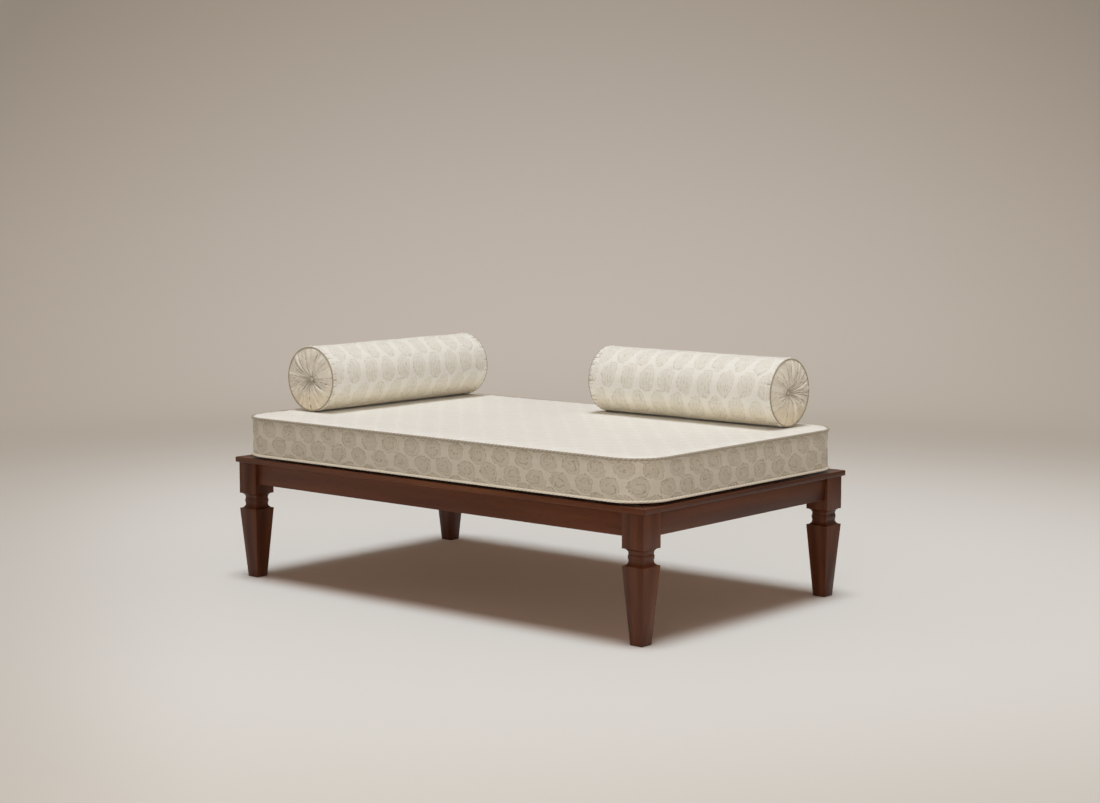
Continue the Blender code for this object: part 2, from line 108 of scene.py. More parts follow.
class Tree:
    """Short calls for the nodes of one tree, in a material or in Geometry Nodes."""

    def node(self, kind, inputs=(), **settings):
        made = self.tree.nodes.new(kind)
        for key, value in settings.items():
            setattr(made, key, value)
        for key, value in dict(inputs).items():
            self.give(made.inputs[key], value)
        return made

    def out(self, kind, inputs=(), output=0, **settings):
        """Adds a node and returns one of its outputs, by number or name."""
        return Wire(self, self.node(kind, inputs, **settings).outputs[output])

    def give(self, socket, value):
        value = value.socket if isinstance(value, Wire) else value
        if isinstance(value, bpy.types.NodeSocket):
            self.tree.links.new(value, socket)
        else:
            socket.default_value = value

    def math(self, operation, first, second=0.0, third=0.0, clamp=False):
        inputs = {0: first, 1: second, 2: third}
        return self.out("ShaderNodeMath", inputs, operation=operation, use_clamp=clamp)

    def vector(self, operation, first, second=(0, 0, 0)):
        made = self.node("ShaderNodeVectorMath", {0: first}, operation=operation)
        self.give(made.inputs["Scale" if operation == "SCALE" else 1], second)
        return Wire(self, made.outputs["Value" if operation in ("LENGTH", "DOT_PRODUCT") else "Vector"])

    def combine(self, x, y, z=0.0):
        return self.out("ShaderNodeCombineXYZ", {0: x, 1: y, 2: z})

    def separate(self, vector):
        return [Wire(self, socket) for socket in self.node("ShaderNodeSeparateXYZ", {0: vector}).outputs]

    def smooth(self, value, low, high, to_low=0.0, to_high=1.0):
        inputs = {"Value": value, "From Min": low, "From Max": high, "To Min": to_low, "To Max": to_high}
        return self.out("ShaderNodeMapRange", inputs, interpolation_type="SMOOTHSTEP")

    def noise(self, vector, scale, detail=2.0, roughness=0.5):
        inputs = {"Vector": vector, "Scale": scale, "Detail": detail, "Roughness": roughness}
        return self.out("ShaderNodeTexNoise", inputs)

    def crackle(self, vector, scale):
        """Distance to the nearest line of a cracked pattern."""
        inputs = {"Vector": vector, "Scale": scale}
        return self.out("ShaderNodeTexVoronoi", inputs, "Distance", feature="DISTANCE_TO_EDGE")

    def sway(self, vector, scale, detail, amount):
        """A smooth random shift for a place."""
        inputs = {"Vector": vector, "Scale": scale, "Detail": detail}
        noise = self.out("ShaderNodeTexNoise", inputs, "Color")
        return self.vector("SCALE", self.vector("SUBTRACT", noise, (0.5, 0.5, 0.5)), amount)


class Finish(Tree):
    """One material."""

    def __init__(self, name):
        self.material = bpy.data.materials.new(name)
        self.material.use_nodes = True
        self.tree = self.material.node_tree
        self.shader = self.tree.nodes["Principled BSDF"]

    def attribute(self, name, output="Vector"):
        return self.out("ShaderNodeAttribute", output=output, attribute_name=name)

    def uv(self, name):
        return self.out("ShaderNodeUVMap", uv_map=name)

    def object_place(self):
        return self.out("ShaderNodeTexCoord", output="Object")

    def give(self, socket, value):
        super().give(socket, (*value, 1.0) if isinstance(value, tuple) and socket.type == "RGBA" else value)

    def mix(self, share, first, second, blend="MIX"):
        return self.out("ShaderNodeMix", {0: share, 6: first, 7: second}, 2, data_type="RGBA",
                        blend_type=blend)

    def put(self, **values):
        """Sets or links the shader's sockets; underscores stand for spaces."""
        for key, value in values.items():
            self.give(self.shader.inputs[key.replace("_", " ")], value)

    def bump(self, height, depth, over=None):
        inputs = {"Height": height, "Distance": depth, "Strength": 1.0}
        if over is not None:
            inputs["Normal"] = over
        return self.out("ShaderNodeBump", inputs)


class Recipe(Tree):
    """A Geometry Nodes tree with named sizes."""

    def __init__(self, name, **sizes):
        self.tree = bpy.data.node_groups.new(name, "GeometryNodeTree")
        face = self.tree.interface
        face.new_socket("Guide", in_out="INPUT", socket_type="NodeSocketGeometry")
        for key, value in sizes.items():
            kind = "NodeSocketInt" if isinstance(value, int) else "NodeSocketFloat"
            face.new_socket(key, in_out="INPUT", socket_type=kind).default_value = value
        face.new_socket("Result", in_out="OUTPUT", socket_type="NodeSocketGeometry")
        self.given = self.tree.nodes.new("NodeGroupInput")
        self.guide = self.size(0)

    def size(self, name):
        return Wire(self, self.given.outputs[name])

    def attribute(self, name, kind="FLOAT"):
        return self.out("GeometryNodeInputNamedAttribute", {"Name": name}, data_type=kind)

    def store(self, geometry, name, value, kind="FLOAT"):
        inputs = {"Geometry": geometry, "Name": name, "Value": value}
        return self.out("GeometryNodeStoreNamedAttribute", inputs, data_type=kind, domain="POINT")

    def move(self, geometry, offset):
        return self.out("GeometryNodeSetPosition", {"Geometry": geometry, "Offset": offset})

    def end(self, geometry, material):
        real = self.out("GeometryNodeRealizeInstances", {0: geometry})
        dressed = self.out("GeometryNodeSetMaterial", {"Geometry": real, "Material": material})
        self.node("NodeGroupOutput", {0: dressed})
        return self

    def make(self, name, guide, **sizes):
        """Runs the recipe on a guide mesh and returns the result as a plain mesh object."""
        piece = link(name, guide)
        modifier = piece.modifiers.new("recipe", "NODES")
        modifier.node_group = self.tree
        for socket in self.tree.interface.items_tree:
            if socket.in_out == "INPUT" and socket.name in sizes:
                modifier[socket.identifier] = sizes[socket.name]
        return settle(piece)


def polished_mahogany():
    """Long grain with soft ribbons, growth lines and fine dark pores under a satin polish."""
    wood = Finish("polished_mahogany")
    grain = wood.attribute("grain")
    wander = wood.sway(wood.vector("MULTIPLY", grain, (1.0, 4.0, 4.0)), 1.3, 2.0, 0.035)
    bent = wood.vector("ADD", grain, wander)
    long = wood.vector("MULTIPLY", bent, (0.05, 1.0, 1.0))
    drift = wood.noise(long, 4.0, 2.0)
    ribbon = wood.noise(long, 17.0, 3.0, 0.55)
    inputs = {"Vector": long, "Scale": 9.0, "Distortion": 7.0, "Detail": 3.0, "Detail Scale": 1.1,
              "Detail Roughness": 0.5}
    lines = wood.out("ShaderNodeTexWave", inputs, "Fac", bands_direction="Y")
    streak = wood.noise(wood.vector("MULTIPLY", bent, (0.03, 1.0, 1.0)), 240.0, 3.0, 0.6)
    pores = wood.noise(wood.vector("MULTIPLY", bent, (0.045, 1.0, 1.0)), 900.0, 1.0)
    pore = wood.smooth(pores, 0.60, 0.70)
    tone = ribbon * 0.75 + lines * 0.16 + drift * 0.60 + streak * 0.22
    base = wood.mix(wood.smooth(tone, 0.55, 1.00), DEEP_BROWN, RED_BROWN)
    base = wood.mix(wood.smooth(tone, 0.88, 1.28), base, AMBER_BROWN)
    colour = wood.mix(pore * 0.50, base, PORE_BROWN)
    rough = streak * 0.14 + pore * 0.10 + 0.30
    relief = pore * -1.0 + streak * 0.25
    wood.put(Base_Color=colour, Roughness=rough, Normal=wood.bump(relief, 0.00010), Coat_Weight=0.04,
             Coat_Roughness=0.22, Specular_IOR_Level=0.24)
    return wood.material


def plain_birch():
    """Pale slat wood, sanded and unvarnished."""
    wood = Finish("sanded_birch")
    grain = wood.attribute("grain")
    long = wood.vector("MULTIPLY", grain, (0.05, 1.0, 1.0))
    figure = wood.noise(long, 30.0, 3.0)
    streak = wood.noise(long, 320.0, 2.0, 0.6)
    tone = figure * 0.7 + streak * 0.4
    colour = wood.mix(wood.smooth(tone, 0.35, 0.75), (0.42, 0.28, 0.155), (0.63, 0.47, 0.30))
    wood.put(Base_Color=colour, Roughness=streak * 0.2 + 0.5, Normal=wood.bump(streak, 0.00015))
    return wood.material


def plain_metal(name, colour, roughness):
    metal = Finish(name)
    place = metal.object_place()
    haze = metal.noise(place, 420.0, 2.0)
    metal.put(Base_Color=metal.mix(haze, tuple(c * 0.82 for c in colour), colour), Metallic=1.0,
              Roughness=haze * 0.22 + roughness, Normal=metal.bump(metal.noise(place, 1800.0), 0.00002))
    return metal.material


def curl(cloth, cells, shift, half, strokes):
    """One lattice of curled leaves: how far inside one a point is, and how near to a dark drawn line and a
    pale one. half is the leaf's size in cells; strokes draws straight veins instead of a spiral."""
    place = cloth.vector("ADD", cells, shift)
    chance = cloth.out("ShaderNodeTexWhiteNoise", {"Vector": cloth.vector("FLOOR", place)}, "Color",
                       noise_dimensions="3D")
    pick_x, pick_y, pick_z = cloth.separate(chance)
    middle = cloth.vector("ADD", cloth.vector("MULTIPLY", chance, (0.09, 0.07, 0.0)), (0.455, 0.465, 0.0))
    inner = cloth.vector("SUBTRACT", cloth.vector("FRACTION", place), middle)
    inner = cloth.vector("DIVIDE", inner, (*half, 1.0))
    x, y, _ = cloth.separate(cloth.vector("ADD", inner, cloth.sway(place, 5.0, 2.5, 0.62)))
    x = y * y * (pick_x * 0.34 - 0.17) + x
    radius = cloth.math("SQRT", x * x + y * y)
    angle = cloth.math("ARCTAN2", y, x)
    toward_tail = cloth.math("COSINE", angle + pick_y * 0.9 + 0.5)
    tail = cloth.math("POWER", cloth.math("MAXIMUM", toward_tail, 0.0), 5.0)
    edge = tail * 0.28 + pick_z * 0.08 + 0.86
    depth = radius / edge
    fill = cloth.smooth(depth, 1.0, 0.93)
    inside = toward_tail * 0.045 + 0.865
    ring = cloth.smooth(depth - inside, -0.03, 0.02) * cloth.smooth(depth, 0.99, 0.95)
    halo = cloth.smooth(depth, 1.13, 1.05) * cloth.smooth(depth, 0.98, 1.02)
    if strokes:
        turn = x * 2.6 + pick_z
    else:
        turn = angle * (1 / TURN) + pick_z + depth * 1.5
    turn = cloth.math("FRACT", turn)
    swirl = cloth.smooth(abs(turn - 0.5), 0.16, 0.08)
    shine = cloth.smooth(abs(turn - 0.76), 0.12, 0.04)
    core = cloth.smooth(depth, 0.82, 0.74)
    vein = cloth.smooth(cloth.crackle(place, 19.0), 0.10, 0.03) * core
    drawn = cloth.math("MAXIMUM", ring, swirl * core)
    drawn = cloth.math("MAXIMUM", drawn, vein * 0.7)
    broken = cloth.smooth(cloth.noise(place, 13.0, 2.0), 0.40, 0.58)
    pale = cloth.math("MAXIMUM", halo, shine * core)
    return fill, drawn * broken, pale * broken


def sprigs(cloth, cells):
    """Small pale twigs scattered over the ground between the leaves."""
    bent = cloth.vector("ADD", cells, cloth.sway(cells, 9.0, 1.0, 0.12))
    gate = cloth.smooth(cloth.noise(cells, 4.2, 0.0), 0.54, 0.60)
    return cloth.smooth(cloth.crackle(bent, 7.0), 0.09, 0.04) * gate


def woven_threads(cloth, run, pitch):
    """Fine warp and weft, uneven like spun thread. run is in metres."""
    warp = cloth.noise(cloth.vector("MULTIPLY", run, (1 / pitch, 0.07 / pitch, 0.0)), 1.0, 1.0)
    weft = cloth.noise(cloth.vector("MULTIPLY", run, (0.07 / pitch, 1 / pitch, 0.0)), 1.0, 1.0)
    return warp, weft


def ivory_damask(name, contrast, ground, figure, drawn_line, half=(0.41, 0.30), strokes=False, folds=False):
    """Figured satin: a lustrous pale ground and duller curled leaves, drawn in dark lines with pale ones
    beside them. For a gathered or puckered piece the last flag adds painted light: shade in creases and
    where a bolster rests, highlights on crests and warm bounce from the seat on its lower part."""
    cloth = Finish(name)
    cells = cloth.uv("figure")
    run = cloth.uv("cloth")
    fill_a, line_a, pale_a = curl(cloth, cells, (0.0, 0.0, 0.0), half, strokes)
    fill_b, line_b, pale_b = curl(cloth, cells, (0.5, 0.5, 7.0), half, strokes)
    fill = cloth.math("MAXIMUM", fill_a, fill_b)
    drawn = cloth.math("MAXIMUM", line_a, line_b)
    twig = sprigs(cloth, cells) * cloth.math("SUBTRACT", 1.0, fill, clamp=True)
    pale = cloth.math("MAXIMUM", cloth.math("MAXIMUM", pale_a, pale_b), twig * 0.8)
    warp, weft = woven_threads(cloth, run, 0.0011)
    slub = cloth.noise(cloth.vector("MULTIPLY", run, (4.0, 90.0, 0.0)), 1.0, 2.0)
    age = cloth.noise(run, 3.0, 2.0)
    worn = cloth.noise(run, 46.0, 2.0) * 0.9 + 0.42
    base = cloth.mix(cloth.math("MULTIPLY", fill, worn, clamp=True) * contrast, ground, figure)
    base = cloth.mix(cloth.math("MULTIPLY", drawn, worn, clamp=True) * contrast, base, drawn_line)
    bright = tuple(min(0.92, value * 1.13) for value in ground)
    base = cloth.mix(pale * (0.62 * contrast), base, bright)
    thread = warp * 0.5 + weft * 0.5
    tone = thread * 0.22 + slub * 0.10 + age * 0.06 + 0.80
    colour = cloth.mix(1.0, base, cloth.combine(tone, tone, tone), "MULTIPLY")
    sheen = 0.30
    if folds:
        # The fold attribute is painted light: above zero it is shade, below zero a highlight
        fold = cloth.attribute("fold", "Fac")
        shade = cloth.smooth(fold, 0.05, 0.85)
        # Painted highlight on the crests of the pleats
        colour = cloth.mix(cloth.smooth(fold, -0.05, -0.85, 0.0, 0.6), colour, bright)
        _, _, height = cloth.separate(cloth.object_place())
        # Painted bounce light: below the bolster's middle the cloth turns warmer, standing for warm light
        # thrown up from the seat
        colour = cloth.mix(cloth.smooth(height, 0.640, 0.560), colour, SEAT_BOUNCE_PAINT, "MULTIPLY")
        # Painted shade in the creases and where the bolster rests on the seat, with the sheen turned down
        # there
        colour = cloth.mix(shade * 0.88, colour, FOLD_SHADE)
        sheen = shade * -0.28 + 0.30
    relief = cloth.bump(thread, 0.00022)
    relief = cloth.bump(fill + pale - drawn, 0.00028, relief)
    cloth.put(Base_Color=colour, Roughness=fill * 0.16 + 0.52, Normal=relief, Specular_IOR_Level=0.32,
              Sheen_Weight=sheen, Sheen_Roughness=0.42, Sheen_Tint=(1.0, 0.97, 0.91))
    return cloth.material


def piping_cloth(name, light, dark):
    """Cord covered in bias-cut cloth: slanting ribs, with painted shade darkening the grooves."""
    cloth = Finish(name)
    strand = cloth.attribute("strand", "Fac")
    grit = cloth.noise(cloth.object_place(), 900.0, 2.0, 0.7)
    blotch = cloth.noise(cloth.object_place(), 95.0, 3.0, 0.65)
    # Painted shade: the cloth is darker where the strand dips, in the grooves between the ribs
    lit = strand * 0.34 + 0.14 + grit * 0.40
    lit = cloth.math("MULTIPLY_ADD", blotch, 0.55, lit, clamp=True)
    cloth.put(Base_Color=cloth.mix(lit, dark, light), Roughness=0.78, Sheen_Weight=0.25, Sheen_Roughness=0.5,
              Normal=cloth.bump(grit, 0.0003))
    return cloth.material


def zip_webbing():
    """Narrow woven tape with a herringbone."""
    cloth = Finish("zip_webbing")
    u, v, _ = cloth.separate(cloth.uv("cloth"))
    fold = cloth.math("PINGPONG", v * 400.0, 1.0)
    slant = cloth.math("SINE", (fold * 0.0025 + u) * (TURN / 0.0016))
    grit = cloth.noise(cloth.object_place(), 1400.0, 2.0)
    lit = slant * 0.2 + grit * 0.5 + 0.25
    cloth.put(Base_Color=cloth.mix(lit, (0.34, 0.29, 0.21), (0.60, 0.54, 0.43)), Roughness=0.8,
              Normal=cloth.bump(slant, 0.0001), Sheen_Weight=0.15)
    return cloth.material


def sewing_thread():
    cloth = Finish("sewing_thread")
    grit = cloth.noise(cloth.object_place(), 2600.0, 1.0)
    cloth.put(Base_Color=cloth.mix(grit, (0.48, 0.42, 0.31), (0.70, 0.64, 0.52)), Roughness=0.6,
              Sheen_Weight=0.2, Normal=cloth.bump(grit, 0.00005))
    return cloth.material


def filling(name, colour, cell):
    """Foam or fibre wadding inside a cover."""
    stuff = Finish(name)
    place = stuff.object_place()
    cells = stuff.out("ShaderNodeTexVoronoi", {"Vector": place, "Scale": 1 / cell}, "Distance")
    cloud = stuff.noise(place, 24.0, 3.0)
    shade = tuple(c * 0.72 for c in colour)
    stuff.put(Base_Color=stuff.mix(cells * 0.7 + cloud * 0.4, shade, colour), Roughness=0.9,
              Normal=stuff.bump(cells, cell * 0.4))
    return stuff.material


# ---------------------------------------------------------------- mesh helpers

def link(name, mesh, *materials):
    made = bpy.data.objects.new(name, mesh)
    bpy.context.scene.collection.objects.link(made)
    for material in materials:
        mesh.materials.append(material)
    return made


def belongs(piece, body, slot, *nodes):
    """Which body a piece moves with, and the CAD nodes that it stands for; slot is not used."""
    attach(piece, body)
    if nodes:
        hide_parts(*nodes)


def redress(piece, material):
    piece.data.materials.clear()
    piece.data.materials.append(material)


def close_up(mesh, merge=0.0, fill=True):
    """Merges doubles, fills open ends, points every face out and smooths the shading."""
    shape = bmesh.new()
    shape.from_mesh(mesh)
    if merge:
        bmesh.ops.remove_doubles(shape, verts=shape.verts, dist=merge)
    if fill:
        bmesh.ops.holes_fill(shape, edges=[edge for edge in shape.edges if edge.is_boundary], sides=0)
    bmesh.ops.recalc_face_normals(shape, faces=shape.faces)
    shape.to_mesh(mesh)
    shape.free()
    mesh.shade_smooth()


def around_x(x, radius, angles):
    """Points at a radius and an angle round the X axis."""
    return np.stack(np.broadcast_arrays(x, radius * np.cos(angles), radius * np.sin(angles)), axis=-1)


def settle(piece):
    """Turns a piece's modifiers into plain mesh, with its place in the mesh."""
    graph = bpy.context.evaluated_depsgraph_get()
    mesh = bpy.data.meshes.new_from_object(piece.evaluated_get(graph), preserve_all_data_layers=True,
                                           depsgraph=graph)
    piece.modifiers.clear()
    old = piece.data
    piece.data = mesh
    mesh.name = piece.name
    bpy.data.meshes.remove(old)
    return piece


def points_of(mesh):
    flat = np.empty(len(mesh.vertices) * 3, np.float32)
    mesh.vertices.foreach_get("co", flat)
    return flat.reshape(-1, 3).astype(float)


def set_points(mesh, points):
    mesh.vertices.foreach_set("co", np.asarray(points, np.float32).ravel())
    mesh.update()


def lay_grain(piece, along, seed):
    """Stores where each point lies along and across the grain; each piece is cut from its own board."""
    order = {"X": (0, 1, 2), "Y": (1, 0, 2), "Z": (2, 0, 1)}[along]
    shift = np.random.default_rng(seed).uniform(-4, 4, 3) * (6.0, 1.0, 1.0)
    points = points_of(piece.data)[:, order] + shift
    made = piece.data.attributes.new("grain", "FLOAT_VECTOR", "POINT")
    made.data.foreach_set("vector", points.astype(np.float32).ravel())


def eased_copy(node, ease, steps=2):
    """A copy of a CAD node with its arrises rounded over."""
    shape = bmesh.new()
    shape.from_mesh(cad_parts[node].data)
    bmesh.ops.remove_doubles(shape, verts=shape.verts, dist=0.00002)
    bmesh.ops.dissolve_limit(shape, angle_limit=math.radians(1), verts=shape.verts, edges=shape.edges)
    mesh = bpy.data.meshes.new(node + "_eased")
    shape.to_mesh(mesh)
    shape.free()
    mesh.shade_smooth()
    piece = link("eased_" + node, mesh)
    bevel = piece.modifiers.new("ease", "BEVEL")
    bevel.width = ease
    bevel.segments = steps
    bevel.limit_method = "ANGLE"
    bevel.angle_limit = math.radians(32)
    bevel.use_clamp_overlap = True
    bevel.harden_normals = True
    return settle(piece)


def mesh_of(name, points, faces, smooth=True):
    mesh = bpy.data.meshes.new(name)
    mesh.from_pydata([tuple(p) for p in np.asarray(points, float)], [], [tuple(map(int, f)) for f in faces])
    mesh.update()
    if smooth:
        mesh.shade_smooth()
    return mesh


def line_mesh(name, points, closed=False):
    """A guide for a recipe: points joined by edges."""
    count = len(points)
    edges = [(i, (i + 1) % count) for i in range(count if closed else count - 1)]
    mesh = bpy.data.meshes.new(name)
    mesh.from_pydata([tuple(p) for p in np.asarray(points, float)], edges, [])
    return mesh


def grid_faces(rows, columns, wrap=False):
    """Quads over a grid of points stored row by row; wrap joins the last column to the first."""
    across = np.arange(columns if wrap else columns - 1)
    step = (across + 1) % columns
    up = np.arange(rows - 1)[:, None] * columns
    corners = [up + across, up + step, up + columns + step, up + columns + across]
    return np.stack(corners, axis=-1).reshape(-1, 4)


def corner_places(rows, columns):
    """Row and column of every corner of a wrapped grid's quads, in the order of grid_faces."""
    row, column = np.divmod(np.arange((rows - 1) * columns), columns)
    return (np.stack([row, row, row + 1, row + 1], axis=1).ravel(),
            np.stack([column, column + 1, column + 1, column], axis=1).ravel())


def give_uv(mesh, name, values):
    """values has one (u, v) for each face corner."""
    layer = mesh.uv_layers.new(name=name)
    layer.uv.foreach_set("vector", np.asarray(values, np.float32).ravel())


def corners_of(mesh):
    """Vertex index of every face corner."""
    index = np.empty(len(mesh.loops), np.int32)
    mesh.loops.foreach_get("vertex_index", index)
    return index


def ease_step(value):
    value = np.clip(value, 0.0, 1.0)
    return value * value * (3 - 2 * value)


def cloud(points, scale, seed):
    """Smooth noise of about -1 to 1 at each point."""
    shift = Vector(np.random.default_rng(seed).uniform(-50, 50, 3))
    return np.array([noise.noise(Vector(p) * scale + shift) for p in points]) * 1.6


# ---------------------------------------------------------------- frame

def finish_timber(mahogany, birch):
    """Rails, caps, legs, blocks, ledgers and slats, each eased and given grain along its length."""
    runs = {"leg": ("Z", 0.0011, mahogany), "rail_front": ("X", 0.0016, mahogany),
            "rail_back": ("X", 0.0016, mahogany), "rail": ("Y", 0.0016, mahogany),
            "cap_front": ("X", 0.0022, mahogany), "cap_back": ("X", 0.0022, mahogany),
            "cap": ("Y", 0.0022, mahogany), "corner_block": ("Z", 0.0012, birch),
            "slat_ledger": ("X", 0.0015, birch), "slat": ("Y", 0.0030, birch)}
    slots = {mahogany: "mahogany", birch: "birch"}
    for number, node in enumerate(sorted(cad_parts)):
        kind = next((key for key in sorted(runs, key=len, reverse=True) if node.startswith(key)), None)
        if kind is None:
            continue
        along, ease, wood = runs[kind]
        piece = eased_copy(node, ease)
        redress(piece, wood)
        lay_grain(piece, along, number)
        belongs(piece, "frame", slots[wood], node)


# ---------------------------------------------------------------- upholstery

MATTRESS_HALF = np.array([0.8400, 0.5100])
MATTRESS_CORNER = 0.1130
SEAM_TOP = 0.5327
SEAM_LOW = 0.4123
MATTRESS_FLOOR = 0.4078
CROWN = 0.0085
BOXING_SWELL = 0.0072
SUNK = 0.0030
CLOTH_STEP = 0.0135
BOLSTER_RADIUS = 0.1125
RING_RADIUS = 0.1055
ZIP_ANGLE = -math.radians(30)
MATTRESS_ZIP_HEIGHT = 0.4725
AROUND = 288
SEAT_FIGURE = np.array([0.091, 0.098])
TUBE_FIGURE = (0.0775, 0.1767)
ROUND_ANGLES = ZIP_ANGLE + np.linspace(0, TURN, AROUND, endpoint=False)
SIDE_BOLSTER = {"centre": (-0.710, 0.070, 0.6503), "turn": 90.0, "length": 0.755, "ends": ("front", "back"),
                "figure": (0.2, 0.29)}
BACK_BOLSTER = {"centre": (0.385, 0.357, 0.6503), "turn": 0.0, "length": 0.720, "ends": ("left", "right"),
                "figure": (0.45, 0.29)}
BOLSTERS = {"side_bolster": SIDE_BOLSTER, "back_bolster": BACK_BOLSTER}


def inflate(shell, pinned, cap, slack):
    """Lets cloth swell between its pinned seams and returns how far each point moved, capped."""
    rest = points_of(shell.data)
    group = shell.vertex_groups.new(name="seams")
    group.add([int(i) for i in np.flatnonzero(pinned)], 1.0, "REPLACE")
    cloth = shell.modifiers.new("cloth", "CLOTH")
    cloth.settings.quality = 4
    cloth.settings.mass = 0.25
    cloth.settings.tension_stiffness = cloth.settings.compression_stiffness = 12
    cloth.settings.bending_stiffness = 0.8
    cloth.settings.use_pressure = True
    cloth.settings.uniform_pressure_force = 4.0
    cloth.settings.shrink_min = -slack
    cloth.settings.vertex_group_mass = "seams"
    cloth.settings.effector_weights.gravity = 0.0
    cloth.collision_settings.use_collision = False
    cloth.point_cache.frame_start = 1
    cloth.point_cache.frame_end = 20
    for tick in range(1, 21):
        bpy.context.scene.frame_set(tick)
    graph = bpy.context.evaluated_depsgraph_get()
    moved = points_of(shell.evaluated_get(graph).to_mesh()) - rest
    shell.evaluated_get(graph).to_mesh_clear()
    shell.modifiers.clear()
    bpy.context.scene.frame_set(1)
    far = np.linalg.norm(moved, axis=1, keepdims=True)
    cap = np.asarray(cap, float).reshape(-1, 1) + 1e-9
    return moved / np.maximum(far, 1e-9) * cap * np.tanh(far / cap)


def rounded_lattice(half, corner, spacing):
    """Grid over a rounded rectangle; its corner squares are bent into quarter discs."""
    lines = []
    for reach in half:
        flat = reach - corner
        middle = np.linspace(-flat, flat, round(2 * flat / spacing) + 1)
        bend = np.linspace(0, corner, round(corner / spacing) + 1)[1:]
        lines.append(np.concatenate([-flat - bend[::-1], middle, flat + bend]))
    grid = np.stack(np.meshgrid(*lines), axis=-1)
    over = np.clip((np.abs(grid) - (half - corner)) / corner, 0, 1)
    bent = over * np.sqrt(1 - over[..., ::-1] ** 2 / 2)
    return np.sign(grid) * (np.minimum(np.abs(grid), half - corner) + corner * bent)


def plan_edge(points, half, corner):
    """Distance in from a rounded rectangle's edge, and the nearest point on that edge."""
    core = half - corner
    over = np.abs(points[:, :2]) - core
    outside = np.maximum(over, 0)
    far = np.linalg.norm(outside, axis=1)
    distance = far + np.minimum(over.max(axis=1), 0) - corner
    along = np.where(over[:, :1] > over[:, 1:], (1.0, 0.0), (0.0, 1.0))
    normal = np.where(far[:, None] > 1e-9, outside / np.maximum(far, 1e-9)[:, None], along)
    normal *= np.sign(points[:, :2])
    return -distance, points[:, :2] - normal * distance[:, None], normal


def bolster_underside(points):
    """Height of the lowest bolster surface over each point, or a large height where none lies."""
    lowest = np.full(len(points), 9.0)
    for bolster in BOLSTERS.values():
        x, y, z = bolster["centre"]
        turn = math.radians(bolster["turn"])
        along = (points[:, 0] - x) * math.cos(turn) + (points[:, 1] - y) * math.sin(turn)
        across = (points[:, 1] - y) * math.cos(turn) - (points[:, 0] - x) * math.sin(turn)
        inside = np.abs(across) < BOLSTER_RADIUS
        under = z - np.sqrt(np.maximum(BOLSTER_RADIUS ** 2 - across ** 2, 0))
        end = np.maximum(np.abs(along) - bolster["length"] / 2 + 0.012, 0) / 0.012
        under = under + 0.012 * end ** 2
        lowest = np.where(inside & (end < 2), np.minimum(lowest, under), lowest)
    return lowest


